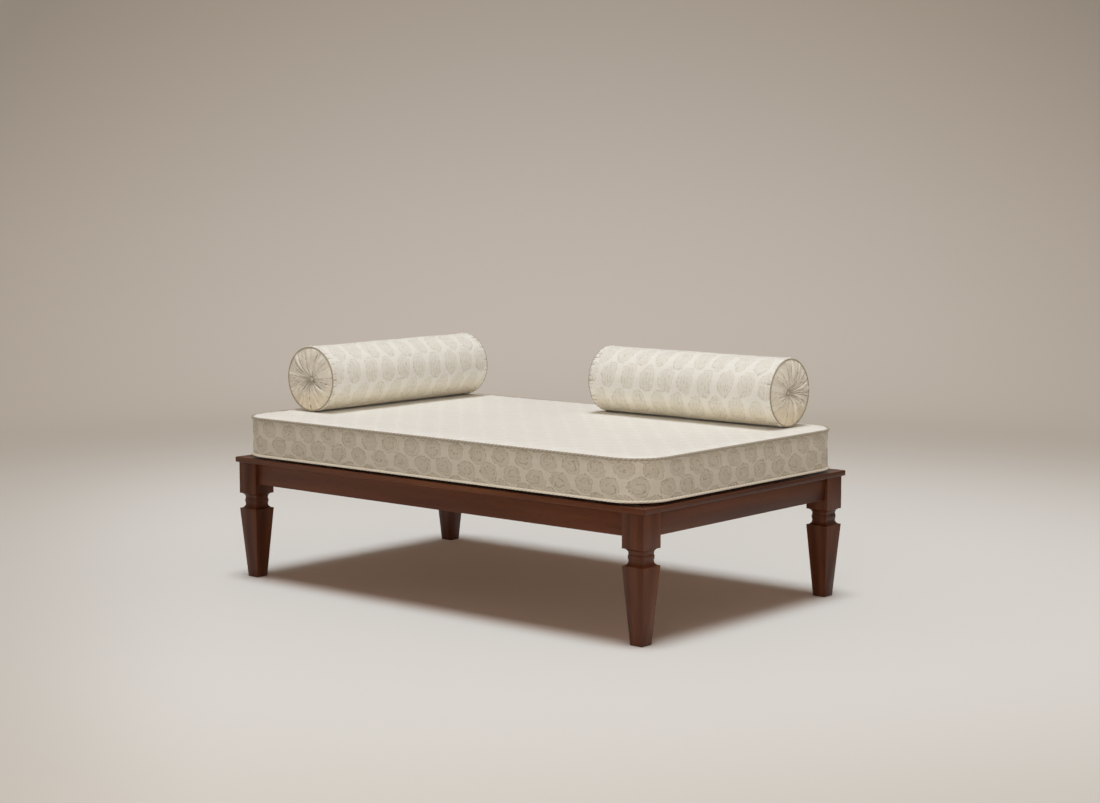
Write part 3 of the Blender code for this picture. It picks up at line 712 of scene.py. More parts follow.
def mattress_shell(damask):
    """Boxed cover: two panels and a boxing strip, blown up against its seams, then pressed and puckered."""
    lattice = rounded_lattice(MATTRESS_HALF, MATTRESS_CORNER, CLOTH_STEP)
    rows, columns = lattice.shape[:2]
    flat = lattice.reshape(-1, 2)
    index = np.arange(rows * columns).reshape(rows, columns)
    loop = np.concatenate([index[0, :-1], index[:-1, -1], index[-1, :0:-1], index[:0:-1, 0]])
    start = int(np.argmin(np.linalg.norm(flat[loop] - (-0.69, MATTRESS_HALF[1]), axis=1)))
    loop = np.roll(loop, -start)
    edge = flat[loop]
    arc = np.concatenate([[0], np.cumsum(np.linalg.norm(np.roll(edge, -1, axis=0) - edge, axis=1))])
    levels = np.linspace(SEAM_LOW, SEAM_TOP, 10)
    panel = rows * columns
    ring = len(loop)
    inner_rings = len(levels) - 2
    points = np.concatenate([
        np.column_stack([flat, np.full(panel, SEAM_TOP)]),
        np.column_stack([flat, np.full(panel, SEAM_LOW)])]
        + [np.column_stack([edge, np.full(ring, z)]) for z in levels[1:-1]])
    bands = np.stack([loop + panel] + [2 * panel + k * ring + np.arange(ring) for k in range(inner_rings)]
                     + [loop])
    top = grid_faces(rows, columns)
    low = grid_faces(rows, columns)[:, ::-1] + panel
    side = bands.reshape(-1)[grid_faces(len(levels), ring, wrap=True)]
    mesh = mesh_of("mattress_shell", points, np.concatenate([top, low, side]))
    corners = corners_of(mesh)
    place = points[corners]
    run = place[:, :2].copy()
    figure = run / SEAT_FIGURE
    first_side = 4 * (len(top) + len(low))
    across = np.tile(np.arange(ring), len(levels) - 1)
    arcs = np.stack([arc[across], arc[across + 1], arc[across + 1], arc[across]], axis=1).ravel()
    run[first_side:] = np.column_stack([arcs, place[first_side:, 2]])
    figure[first_side:] = (run[first_side:] - (0, SEAM_TOP)) / SEAT_FIGURE + (0, 0.80)
    give_uv(mesh, "cloth", run)
    give_uv(mesh, "figure", figure)
    shell = link("mattress_cover_cloth", mesh, *damask)
    slot_of = np.zeros(len(mesh.polygons), np.int32)
    slot_of[len(top) + len(low):] = 1
    mesh.polygons.foreach_set("material_index", slot_of)

    seams = np.zeros(len(points), bool)
    seams[loop] = seams[loop + panel] = True
    by_zip = (points[:, 1] > 0.5) & (np.abs(points[:, 0]) < 0.67)
    by_zip &= np.abs(points[:, 2] - MATTRESS_ZIP_HEIGHT) < 0.015
    under = np.arange(len(points)) // panel == 1
    under &= np.arange(len(points)) < 2 * panel
    cap = np.where(np.arange(len(points)) < panel, CROWN, BOXING_SWELL)
    cap[under] = SEAM_LOW - MATTRESS_FLOOR
    swell = inflate(shell, seams | by_zip, cap, 0.012)
    set_points(mesh, points + swell)

    creases = mesh.attributes.new("crease_edge", "FLOAT", "EDGE")
    ends = np.empty(2 * len(mesh.edges), np.int32)
    mesh.edges.foreach_get("vertices", ends)
    creases.data.foreach_set("value", seams[ends.reshape(-1, 2)].all(axis=1).astype(np.float32))
    finer = shell.modifiers.new("finer", "SUBSURF")
    finer.levels = finer.render_levels = 1
    settle(shell)

    points = points_of(shell.data)
    inward, nearest, normal = plan_edge(points, MATTRESS_HALF, MATTRESS_CORNER)
    anchor = np.column_stack([nearest, np.zeros(len(points))])
    pucker = cloud(anchor, 30.0, 3) * 0.7 + cloud(anchor, 62.0, 4) * 0.5
    on_top = (inward > 0.004) & (points[:, 2] > 0.5)
    from_seam = np.minimum(np.abs(points[:, 2] - SEAM_TOP), np.abs(points[:, 2] - SEAM_LOW))
    from_seam = np.where(on_top, inward, from_seam)
    reach = np.clip(from_seam / 0.004, 0, 1) * np.exp(-from_seam / 0.020)
    drift = cloud(points, 3.2, 5) * 0.0011 + cloud(points, 9.0, 6) * 0.0004
    calm = ease_step(from_seam / 0.05)
    points[:, 2] += np.where(on_top, pucker * reach * 0.0016 + drift * calm, 0)
    on_side = ~on_top & (inward < 0.004)
    on_side &= (np.abs(points[:, 2] - MATTRESS_ZIP_HEIGHT) > 0.018) | (points[:, 1] < 0.5)
    relief = np.where(on_side, pucker * reach * 0.0012 + cloud(points, 7.0, 7) * 0.0006 * calm, 0)
    points[:, :2] += normal * relief[:, None]
    press = bolster_underside(points) - 0.0005
    soft = 0.0005
    gap = (press - points[:, 2]) / soft
    points[:, 2] = np.where(on_top & (gap < 8), points[:, 2] - soft * np.logaddexp(0, -gap), points[:, 2])
    points[:, 2] = np.maximum(points[:, 2], MATTRESS_FLOOR)
    set_points(shell.data, points)
    belongs(shell, "mattress", "ivory_damask", "mattress_cover")


def welt_recipe(cloth):
    """Covered cord swept along a closed guide, with the slant ribs of bias-cut cloth."""
    recipe = Recipe("welt_cord", Radius=0.0045, Spacing=0.0030, Lay=0.0150, Relief=0.00035)
    line = recipe.out("GeometryNodeMeshToCurve", {0: recipe.guide})
    even = recipe.out("GeometryNodeResampleCurve", {"Curve": line, "Length": recipe.size("Spacing")},
                      mode="LENGTH")
    length = recipe.out("GeometryNodeSplineParameter", output="Length")
    even = recipe.store(even, "run", length)
    ring = recipe.out("GeometryNodeCurvePrimitiveCircle",
                      {"Resolution": 12, "Radius": recipe.size("Radius")})
    factor = recipe.out("GeometryNodeSplineParameter", output="Factor")
    ring = recipe.store(ring, "round", factor)
    tube = recipe.out("GeometryNodeCurveToMesh", {"Curve": even, "Profile Curve": ring})
    turns = recipe.attribute("run") / recipe.size("Lay")
    turns = recipe.attribute("round") * 2.0 + turns
    strand = recipe.math("SINE", turns * TURN)
    tube = recipe.store(tube, "strand", strand)
    out = recipe.out("GeometryNodeInputNormal")
    lift = recipe.attribute("strand") * recipe.size("Relief")
    tube = recipe.move(tube, recipe.out("ShaderNodeVectorMath", {0: out, "Scale": lift}, operation="SCALE"))
    return recipe.end(tube, cloth)


def rounded_outline(half, corner, spacing=0.004):
    """Closed plan outline, starting at the middle of the back."""
    core = np.asarray(half) - corner
    points = []
    for sx, sy, first in ((-1, 1, 90), (-1, -1, 180), (1, -1, 270), (1, 1, 0)):
        count = max(8, round(math.pi / 2 * corner / spacing))
        for step in range(count + 1):
            angle = math.radians(first + 90 * step / count)
            points.append((sx * core[0] + corner * math.cos(angle), sy * core[1] + corner * math.sin(angle)))
    return np.array([(0.0, half[1])] + points)


def piping_seams(piping_dark, piping_pale, ring_cloth):
    half = MATTRESS_HALF + 0.0020
    for level, height, cloth in (("top", 0.53268, piping_dark), ("bottom", 0.41232, piping_pale)):
        outline = rounded_outline(half, MATTRESS_CORNER + 0.0020)
        guide = line_mesh("guide", np.column_stack([outline, np.full(len(outline), height)]), closed=True)
        recipe = welt_recipe(cloth)
        piece = recipe.make("mattress_piping_cord_" + level, guide, Radius=0.0041)
        close_up(piece.data, 0.000005, fill=False)
        belongs(piece, "mattress", "stone_piping", "mattress_piping_" + level)
    for body, bolster in BOLSTERS.items():
        for end, side in zip(bolster["ends"], (-1, 1)):
            angles = np.linspace(0, TURN, 180, endpoint=False) - math.pi / 2
            ring = around_x(side * bolster["length"] / 2, RING_RADIUS, angles)
            guide = line_mesh("guide", ring, closed=True)
            recipe = welt_recipe(ring_cloth)
            piece = recipe.make(f"{body}_piping_cord_{end}", guide, Radius=0.0023, Lay=0.0065,
                                Spacing=0.0022, Relief=0.00018)
            piece.data.transform(bolster_place(bolster))
            close_up(piece.data, 0.000005, fill=False)
            belongs(piece, body, "stone_piping", f"{body}_piping_{end}")


def bolster_place(bolster):
    """The matrix that takes what is made along X round the origin to its bolster."""
    return Matrix.Translation(bolster["centre"]) @ Matrix.Rotation(math.radians(bolster["turn"]), 4, "Z")


def bolster_swell(length, seed):
    """How far the tube's cloth moves out, on a coarse grid along and round it."""
    along, around = 50, 144
    x = np.linspace(-length / 2, length / 2, along)
    angles = np.linspace(0, TURN, around, endpoint=False)
    points = around_x(x[:, None], tube_radius(x, length)[:, None], angles).reshape(-1, 3)
    mesh = mesh_of("swell", points, grid_faces(along, around, wrap=True)[:, ::-1])
    tube = link("swell", mesh)
    rings = np.repeat(np.arange(along), around)
    pinned = (rings == 0) | (rings == along - 1)
    rng = np.random.default_rng(seed)
    set_points(mesh, points + rng.normal(0, 0.0001, points.shape) * ~pinned[:, None])
    moved = inflate(tube, pinned, 0.0030, 0.015)
    bpy.data.objects.remove(tube)
    out = points * (0, 1, 1)
    out /= np.linalg.norm(out, axis=1, keepdims=True)
    return (moved * out).sum(axis=1).reshape(along, around)


def tube_radius(x, length):
    """The tube is straight, then rounds over to the piping ring at each end."""
    bend = 0.026
    left = np.clip((np.abs(x) - (length / 2 - bend)) / bend, 0, 1)
    return RING_RADIUS + (BOLSTER_RADIUS - 0.0012 - RING_RADIUS) * np.sqrt(1 - left ** 2.4)


def creased(across, depth, width):
    """A tuck: a narrow valley with a soft roll beside it."""
    roll = np.exp(-((across - 2.3 * width) / (1.7 * width)) ** 2)
    return depth * (0.60 * roll - np.exp(-(across / width) ** 2))


def gathered_end(radius, tucks, crowd, seed):
    """Relief of a gathered end, on rings from the button out to the piping: heights, painted light (shade in
    creases and round the button, highlights on crests below zero) and radii.
    Rounded pleats of uneven width meet in sharp creases, closest together round the angle crowd."""
    rng = np.random.default_rng(seed)
    radii = np.concatenate([[0.004], np.linspace(0.007, radius, 50)])
    u = (radii / radius)[:, None]
    height = 0.0070 * np.sin(math.pi * np.clip(u, 0, 1) ** 1.15) - 0.0080 * np.exp(-(u / 0.20) ** 2)
    height = np.repeat(height, AROUND, axis=1)
    fold = np.zeros_like(height)
    middle = (np.arange(tucks) + 0.5) * TURN / tucks
    widths = rng.uniform(0.45, 1.55, tucks) * (1.0 - 0.55 * np.cos(middle - crowd))
    starts = np.concatenate([[0], np.cumsum(widths)]) * TURN / widths.sum() + crowd
    for index in range(tucks):
        span = starts[index + 1] - starts[index]
        bow = rng.uniform(-0.05, 0.05) * u ** 2 + 0.012 * np.sin(rng.uniform(5, 9) * u + rng.uniform(0, 6))
        share = ((ROUND_ANGLES[None, :] - starts[index] - bow) % TURN) / span
        within = share < 1
        share = np.clip(share, 0, 1)
        fades = rng.uniform(0.30, 0.95)
        strength = (1 - 0.88 * ease_step((u - fades) / 0.40)) * ease_step(u / 0.10)
        lean = rng.choice([0.62, 1.45])
        ridge = np.sin(math.pi * share ** lean) ** 0.6
        arc = span * radii[:, None]
        tall = np.minimum(0.42 * arc, 0.0066) * rng.uniform(0.5, 1.25) * strength
        height += np.where(within, ridge * tall, 0)
        near = np.minimum(share, 1 - share) * arc
        # Painted shade darkens each crease; a painted highlight (negative values) lightens each crest
        dark = np.exp(-(near / (0.0008 + 0.010 * arc)) ** 2) * strength ** 1.2 * rng.uniform(0.5, 1.0)
        crest = np.exp(-((share - 0.5 ** (1 / lean)) / 0.13) ** 2) * strength * rng.uniform(0.3, 1.0)
        fold = np.where(within, dark - crest * (dark < 0.1), fold)
    height *= 1 - ease_step((u - 0.93) / 0.07)
    # A painted ring of shade round the button, where the cloth is drawn in
    fold = np.maximum(fold * ease_step(u / 0.16), 0.6 * np.exp(-((u - 0.085) / 0.02) ** 2))
    return height, np.clip(fold, -1, 1), radii


def tube_skin(bolster, seed):
    """The bolster's tube as rings of points along X, swollen, puckered at its ends and flat by the zip, and
    a painted shade for each point: dark in the puckers and in a band where the tube rests on the seat."""
    length = bolster["length"]
    rng = np.random.default_rng(seed)
    near_end = np.linspace(0, 0.045, 19)[:-1]
    x = np.concatenate([near_end, np.linspace(0.045, length - 0.045, 85), length - near_end[::-1]])
    x -= length / 2
    angles = ROUND_ANGLES
    radius = np.repeat(tube_radius(x, length)[:, None], AROUND, axis=1)
    swell = bolster_swell(length, seed)
    swell = np.column_stack([swell, swell[:, 0]])
    wide = np.stack([np.interp(np.arange(AROUND) / 2, np.arange(145), row) for row in swell])
    fine = np.stack([np.interp(x, np.linspace(x[0], x[-1], 50), column) for column in wide.T], axis=1)
    inset = (length / 2 - np.abs(x))[:, None]
    fold = np.zeros_like(radius)
    radius += fine * ease_step(inset / 0.02)
    for side in (-1, 1):
        from_ring = (length / 2 - side * x)[:, None]
        count = 40
        for turn in (np.arange(count) + rng.uniform(-0.4, 0.4, count)) * TURN / count:
            reach = rng.uniform(0.010, 0.030)
            across = ((angles[None, :] - turn + math.pi) % TURN - math.pi) * BOLSTER_RADIUS
            fade = ease_step(from_ring / 0.004) * np.exp(-(from_ring / reach) ** 2)
            deep = rng.uniform(0.0004, 0.0024)
            radius += creased(across, deep, 0.0034) * fade
            # Painted shade along each pucker's crease
            fold = np.maximum(fold, np.exp(-(across / 0.0030) ** 2) * fade * deep / 0.0034)
    spots = around_x(x[:, None], radius, angles).reshape(-1, 3)
    drift = cloud(spots, 6.0, seed) * 0.0010 + cloud(spots * (0.6, 1, 1), 19.0, seed + 1) * 0.0004
    radius += drift.reshape(radius.shape) * ease_step(inset / 0.03)
    from_zip = np.abs((angles - ZIP_ANGLE + math.pi) % TURN - math.pi) * BOLSTER_RADIUS
    flat = ease_step((0.024 - from_zip) / 0.010)[None, :] * ease_step((inset - 0.045) / 0.010)
    radius = radius + (BOLSTER_RADIUS - 0.0006 - radius) * flat
    spots = around_x(x[:, None], radius, angles)
    spots[..., 2] = np.maximum(spots[..., 2], -BOLSTER_RADIUS + 0.0002)
    # Painted contact shade: a dark band on the tube just above where it rests on the seat
    above_seat = spots[..., 2] + BOLSTER_RADIUS - SUNK
    return spots, np.maximum(fold, 1 - ease_step((above_seat - 0.0030) / 0.0045))


def bolster_cover(body, bolster, tucks, seed, cloths):
    """Tube of figured cloth and two gathered ends, one closed skin."""
    length = bolster["length"]
    tube, tube_painted_shade = tube_skin(bolster, seed)
    parts, faces, runs, figures, slots = [tube.reshape(-1, 3)], [], [], [], []
    folds = [tube_painted_shade.ravel()]
    girth = np.arange(AROUND + 1) * TURN / AROUND * BOLSTER_RADIUS
    along = tube[:, 0, 0] + length / 2
    quads = grid_faces(len(tube), AROUND, wrap=True)
    row, column = corner_places(len(tube), AROUND)
    faces.append(quads)
    runs.append(np.column_stack([along[row], girth[column]]))
    figures.append(runs[0] / TUBE_FIGURE + bolster["figure"])
    slots.append(np.zeros(len(quads), np.int32))
    base = len(parts[0])
    for side, (count, crowd) in zip((-1, 1), tucks):
        height, fold, radii = gathered_end(RING_RADIUS, count, crowd, seed + 10 * side + 20)
        rings = len(radii)
        parts.append(around_x(side * (length / 2 + height), radii[:, None], ROUND_ANGLES).reshape(-1, 3))
        quads = grid_faces(rings, AROUND, wrap=True)
        row, column = corner_places(rings, AROUND)
        faces.append(quads + base)
        runs.append(np.column_stack([girth[column], radii[row]]))
        figures.append(runs[-1] / TUBE_FIGURE)
        slots.append(np.ones(len(quads), np.int32))
        folds.append(fold.ravel())
        base += rings * AROUND
    mesh = mesh_of(body + "_cloth", np.concatenate(parts), np.concatenate(faces))
    give_uv(mesh, "cloth", np.concatenate(runs))
    give_uv(mesh, "figure", np.concatenate(figures))
    piece = link(body + "_cover_cloth", mesh, *cloths)
    mesh.polygons.foreach_set("material_index", np.concatenate(slots))
    # The fold attribute holds painted light: shade in creases and where the tube rests, highlights on crests
    fold = mesh.attributes.new("fold", "FLOAT", "POINT")
    fold.data.foreach_set("value", np.concatenate(folds).astype(np.float32))
    close_up(mesh, 0.00001)
    mesh.transform(bolster_place(bolster))
    belongs(piece, body, "ivory_damask", body + "_cover")


def covered_button(name, body, node, bolster, side, cloth):
    """A small button covered in the ground cloth, drawn in with a few folds round its rim."""
    around, rows = 48, 12
    angles = np.linspace(0, TURN, around, endpoint=False)
    sweep = np.linspace(0.02, 1, rows) * math.pi * 0.62
    fold = 1 + 0.05 * np.sin(9 * angles)[None, :] * np.sin(sweep / 1.3)[:, None] ** 3
    radius = 0.0074 * np.sin(sweep)[:, None] * fold
    rise = np.repeat(0.0036 * np.cos(sweep)[:, None], around, axis=1)
    x = side * (bolster["length"] / 2 - 0.0053 + rise)
    spots = around_x(x, radius, angles).reshape(-1, 3)
    mesh = mesh_of(name, spots, grid_faces(rows, around, wrap=True))
    run = points_of(mesh)[corners_of(mesh)][:, 1:]
    give_uv(mesh, "cloth", run)
    give_uv(mesh, "figure", run * 0)
    piece = link(name, mesh, cloth)
    close_up(mesh)
    mesh.transform(bolster_place(bolster))
    belongs(piece, body, "ivory_damask", node)


# ---------------------------------------------------------------- zips

def tooth_recipe(metal):
    """Zip teeth: small blocks set alternately either side of a line that runs along X and faces +Y."""
    recipe = Recipe("zip_teeth", Pitch=0.0022, Reach=0.0034, Thick=0.0004)
    line = recipe.out("GeometryNodeMeshToCurve", {0: recipe.guide})
    dots = recipe.out("GeometryNodeCurveToPoints", {"Curve": line, "Length": recipe.size("Pitch")},
                      mode="LENGTH")
    side = recipe.math("MODULO", recipe.out("GeometryNodeInputIndex"), 2.0) * 2.0 - 1.0
    shift = side * (recipe.size("Reach") * 0.25)
    dots = recipe.move(dots, recipe.combine(0.0, 0.0, shift))
    wide = recipe.size("Pitch") * 0.72
    block = recipe.out("GeometryNodeMeshCube", {"Size": recipe.combine(wide, recipe.size("Thick"),
                                                                       recipe.size("Reach"))})
    teeth = recipe.out("GeometryNodeInstanceOnPoints", {"Points": dots, "Instance": block})
    return recipe.end(teeth, metal)


def stitch_recipe(thread):
    """A row of stitches along every line of the guide, each a short thick thread lying on the tape."""
    recipe = Recipe("stitch_row", Pitch=0.0034, Long=0.0026, Thread=0.00028, Seed=5)
    line = recipe.out("GeometryNodeMeshToCurve", {0: recipe.guide})
    dots = recipe.node("GeometryNodeCurveToPoints", {"Curve": line, "Length": recipe.size("Pitch")},
                       mode="LENGTH")
    rod = recipe.out("GeometryNodeMeshUVSphere", {"Segments": 6, "Rings": 4, "Radius": 0.5})
    thick = recipe.size("Thread") * 2.0
    size = recipe.combine(thick, thick, recipe.size("Long"))
    sway = recipe.out("FunctionNodeRandomValue", {0: (0.85, 0.85, 0.90), 1: (1.0, 1.0, 1.05),
                                                  "Seed": recipe.size("Seed")}, data_type="FLOAT_VECTOR")
    size = recipe.vector("MULTIPLY", size, sway)
    row = recipe.out("GeometryNodeInstanceOnPoints", {"Points": dots.outputs["Points"], "Instance": rod,
                                                      "Rotation": dots.outputs["Rotation"], "Scale": size})
    return recipe.end(row, thread)


def zip_run(body, half, girth, place, finishes):
    """Tape, stitches and teeth of one zip, made along X facing +Y, then put in place. girth is the radius
    that it is wrapped round, or None on a flat side."""
    webbing, thread, metal = finishes
    tape_node = body + "_zip_tape"
    wide, thick, stitched, opening = 0.011, 0.00035, 0.0085, 0.0036
    x = np.linspace(-half, half, 401)
    across = np.linspace(-wide, wide, 15)

    def at(x, z, lift):
        x, z, lift = np.broadcast_arrays(x, z, lift)
        if girth is None:
            return np.stack([x, lift, z], axis=-1)
        reach = girth + lift
        return np.stack([x, reach * np.cos(z / girth) - girth, reach * np.sin(z / girth)], axis=-1)

    lip = 0.00015 * np.exp(-((np.abs(across) - opening) / 0.0008) ** 2)
    dip = -0.00012 * np.exp(-((np.abs(across) - stitched) / 0.0006) ** 2)
    top = at(x[:, None], across[None, :], (lip + dip)[None, :]).reshape(-1, 3)
    low = at(x[:, None], across[None, :], -thick).reshape(-1, 3)
    quads = grid_faces(len(x), len(across))
    index = np.arange(len(top)).reshape(len(x), len(across))
    rim = np.concatenate([index[:, 0], index[-1, 1:], index[-2::-1, -1], index[0, -2:0:-1]])
    wall = np.stack([rim, np.roll(rim, -1), np.roll(rim, -1) + len(top), rim + len(top)], axis=1)
    mesh = mesh_of(tape_node + "_webbing", np.concatenate([top, low]),
                   np.concatenate([quads, quads[:, ::-1] + len(top), wall]))
    flat = np.tile(np.stack(np.broadcast_arrays(x[:, None], across[None, :]), axis=-1).reshape(-1, 2),
                   (2, 1))
    give_uv(mesh, "cloth", flat[corners_of(mesh)])
    tape = link(tape_node + "_webbing", mesh, webbing)
    close_up(mesh, 0.000005, fill=False)
    teeth = tooth_recipe(metal).make(tape_node + "_teeth", line_mesh("guide", at(x[[0, -1]], 0.0, 0.0)))
    teeth.data.transform(Matrix.Translation((0, -0.00012, 0)))
    guide = bpy.data.meshes.new("guide")
    rows = np.concatenate([at(x, z, 0.00004) for z in (-stitched, stitched)])
    edges = [(i, i + 1) for i in range(len(x) - 1)]
    guide.from_pydata([tuple(p) for p in rows], edges + [(a + len(x), b + len(x)) for a, b in edges], [])
    stitches = stitch_recipe(thread).make(tape_node + "_stitches", guide)
    for piece in (tape, teeth, stitches):
        piece.data.transform(place)
    belongs(tape, body, "zip_tape", tape_node)
    belongs(teeth, body, "dull_brass")
    belongs(stitches, body, "zip_tape")


def zips(finishes):
    lift = 0.00015
    zip_run("mattress", 0.650, None, Matrix.Translation((0, 0.5105 + lift, MATTRESS_ZIP_HEIGHT)), finishes)
    for body, half in (("side_bolster", 0.3175), ("back_bolster", 0.300)):
        turned = bolster_place(BOLSTERS[body]) @ Matrix.Rotation(ZIP_ANGLE, 4, "X")
        place = turned @ Matrix.Translation((0, BOLSTER_RADIUS + lift, 0))
        zip_run(body, half, BOLSTER_RADIUS, place, finishes)


# ---------------------------------------------------------------- hardware

def screw_recipe(metal):
    """Screw heads with a cross recess, one on every guide point, turned to face along its aim."""
    recipe = Recipe("screw_heads", Head=0.0038, High=0.0018, Seed=3)
    disc = recipe.out("GeometryNodeMeshCylinder", {"Vertices": 16, "Radius": recipe.size("Head"),
                                                   "Depth": recipe.size("High")})
    slot_long = recipe.size("Head") * 1.15
    slot_wide = recipe.size("Head") * 0.24
    cut = disc
    for x, y in ((slot_long, slot_wide), (slot_wide, slot_long)):
        bar = recipe.out("GeometryNodeMeshCube", {"Size": recipe.combine(x, y, recipe.size("High"))})
        lift = recipe.combine(0.0, 0.0, recipe.size("High") * 0.55)
        bar = recipe.move(bar, lift)
        made = recipe.node("GeometryNodeMeshBoolean", {0: cut, 1: bar}, operation="DIFFERENCE",
                           solver="EXACT")
        cut = made.outputs[0]
    aim = recipe.attribute("aim", "FLOAT_VECTOR")
    face = recipe.out("FunctionNodeAlignRotationToVector", {"Vector": aim}, axis="Z")
    spin = recipe.node("FunctionNodeRandomValue", {2: 0.0, 3: TURN, "Seed": recipe.size("Seed")},
                       data_type="FLOAT")
    twist = recipe.out("FunctionNodeEulerToRotation", {0: recipe.combine(0.0, 0.0, spin.outputs[1])})
    turned = recipe.out("FunctionNodeRotateRotation", {0: face, 1: twist}, rotation_space="LOCAL")
    heads = recipe.out("GeometryNodeInstanceOnPoints", {"Points": recipe.guide, "Instance": cut,
                                                        "Rotation": turned})
    return recipe.end(heads, metal)


def toward_centre(place):
    """The level diagonal direction from a corner of the frame to its middle."""
    return Vector((-math.copysign(1, place.x), -math.copysign(1, place.y), 0)).normalized()


def screws(metal):
    """Countersunk screws through the slat ends, and round heads in the ledgers and corner blocks."""
    flat, proud = [], []
    for node in sorted(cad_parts):
        low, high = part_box(node)
        if node.startswith("slat_ledger"):
            inner = -1 if node.endswith("back") else 1
            face = low.y if inner < 0 else high.y
            for x in np.linspace(low.x + 0.06, high.x - 0.06, 6):
                proud.append(((x, face, (low.z + high.z) / 2), (0, inner, 0)))
        elif node.startswith("slat_"):
            for y in (low.y + 0.010, high.y - 0.010):
                for x in (low.x + 0.018, high.x - 0.018):
                    flat.append(((x, y, high.z - 0.00065), (0, 0, 1)))
        elif node.startswith("corner_block"):
            middle = (low + high) / 2
            inward = toward_centre(middle)
            along = Vector((-inward.y, inward.x, 0))
            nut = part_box(node.replace("corner_block", "flange_nut"))
            face = (nut[0] + nut[1]) / 2 - inward * 0.0042
            for step in (-0.034, 0.034):
                proud.append((tuple(Vector((face.x, face.y, middle.z)) + along * step), tuple(inward)))
    for name, spots, sizes in (("slat_screws", flat, {"Head": 0.0039, "High": 0.0016}),
                               ("block_screws", proud, {"Head": 0.0042, "High": 0.0026})):
        guide = bpy.data.meshes.new("guide")
        guide.from_pydata([place for place, _ in spots], [], [])
        aim = guide.attributes.new("aim", "FLOAT_VECTOR", "POINT")
        aim.data.foreach_set("vector", np.array([way for _, way in spots], np.float32).ravel())
        piece = screw_recipe(metal).make(name, guide, **sizes)
        piece.data.shade_flat()
        belongs(piece, "frame", "zinc_steel")


def threaded_bolts(metal):
    """Hanger bolts with a rolled thread, pointing in from each leg."""
    pitch, radius, around = 0.00125, 0.0040, 20
    for place in ("front_left", "front_right", "back_left", "back_right"):
        low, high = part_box("hanger_bolt_" + place)
        middle = (low + high) / 2
        inward = toward_centre(middle)
        length = math.hypot(high.x - low.x, high.y - low.y) - radius
        steps = round(length / pitch * 5)
        z = np.linspace(-length / 2, length / 2, steps)[:, None]
        angles = np.linspace(0, TURN, around, endpoint=False)[None, :]
        wave = 0.5 + 0.5 * np.cos(TURN * z / pitch - angles)
        reach = radius - 0.00055 * wave ** 1.5
        reach = reach * (1 - 0.18 * ease_step((np.abs(z) - length / 2 + 0.0015) / 0.0015))
        spots = np.stack([reach * np.cos(angles), reach * np.sin(angles), np.repeat(z, around, 1)], axis=-1)
        mesh = mesh_of("thread", spots.reshape(-1, 3), grid_faces(steps, around, wrap=True))
        piece = link("hanger_bolt_thread_" + place, mesh, metal)
        close_up(mesh)
        mesh.transform(Matrix.Translation(middle) @ inward.to_track_quat("Z", "Y").to_matrix().to_4x4())
        belongs(piece, "frame", "zinc_steel", "hanger_bolt_" + place)


def small_metal(zinc, brass):
    """Flange nuts and zip sliders, eased."""
    for node in sorted(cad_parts):
        if node.startswith("flange_nut"):
            piece, body, metal, slot = eased_copy(node, 0.0004), "frame", zinc, "zinc_steel"
        elif node.endswith("zip_slider"):
            piece, metal, slot = eased_copy(node, 0.0004, 3), brass, "dull_brass"
            body = node.replace("_slider", "")
        else:
            continue
        redress(piece, metal)
        belongs(piece, body, slot, node)


def fillings(foam, fibre):
    """What is inside the covers, drawn in a little so that no cloth touches it."""
    for node, body, stuff, slot in (("mattress_core", "mattress", foam, "foam"),
                                    ("side_bolster_core", "side_bolster", fibre, "fibre"),
                                    ("back_bolster_core", "back_bolster", fibre, "fibre")):
        piece = eased_copy(node, 0.0015)
        spots = points_of(piece.data)
        middle = (spots.min(axis=0) + spots.max(axis=0)) / 2
        half = (spots.max(axis=0) - spots.min(axis=0)) / 2
        set_points(piece.data, middle + (spots - middle) * (half - 0.006) / half)
        redress(piece, stuff)
        belongs(piece, body, slot, node)


# ---------------------------------------------------------------- studio

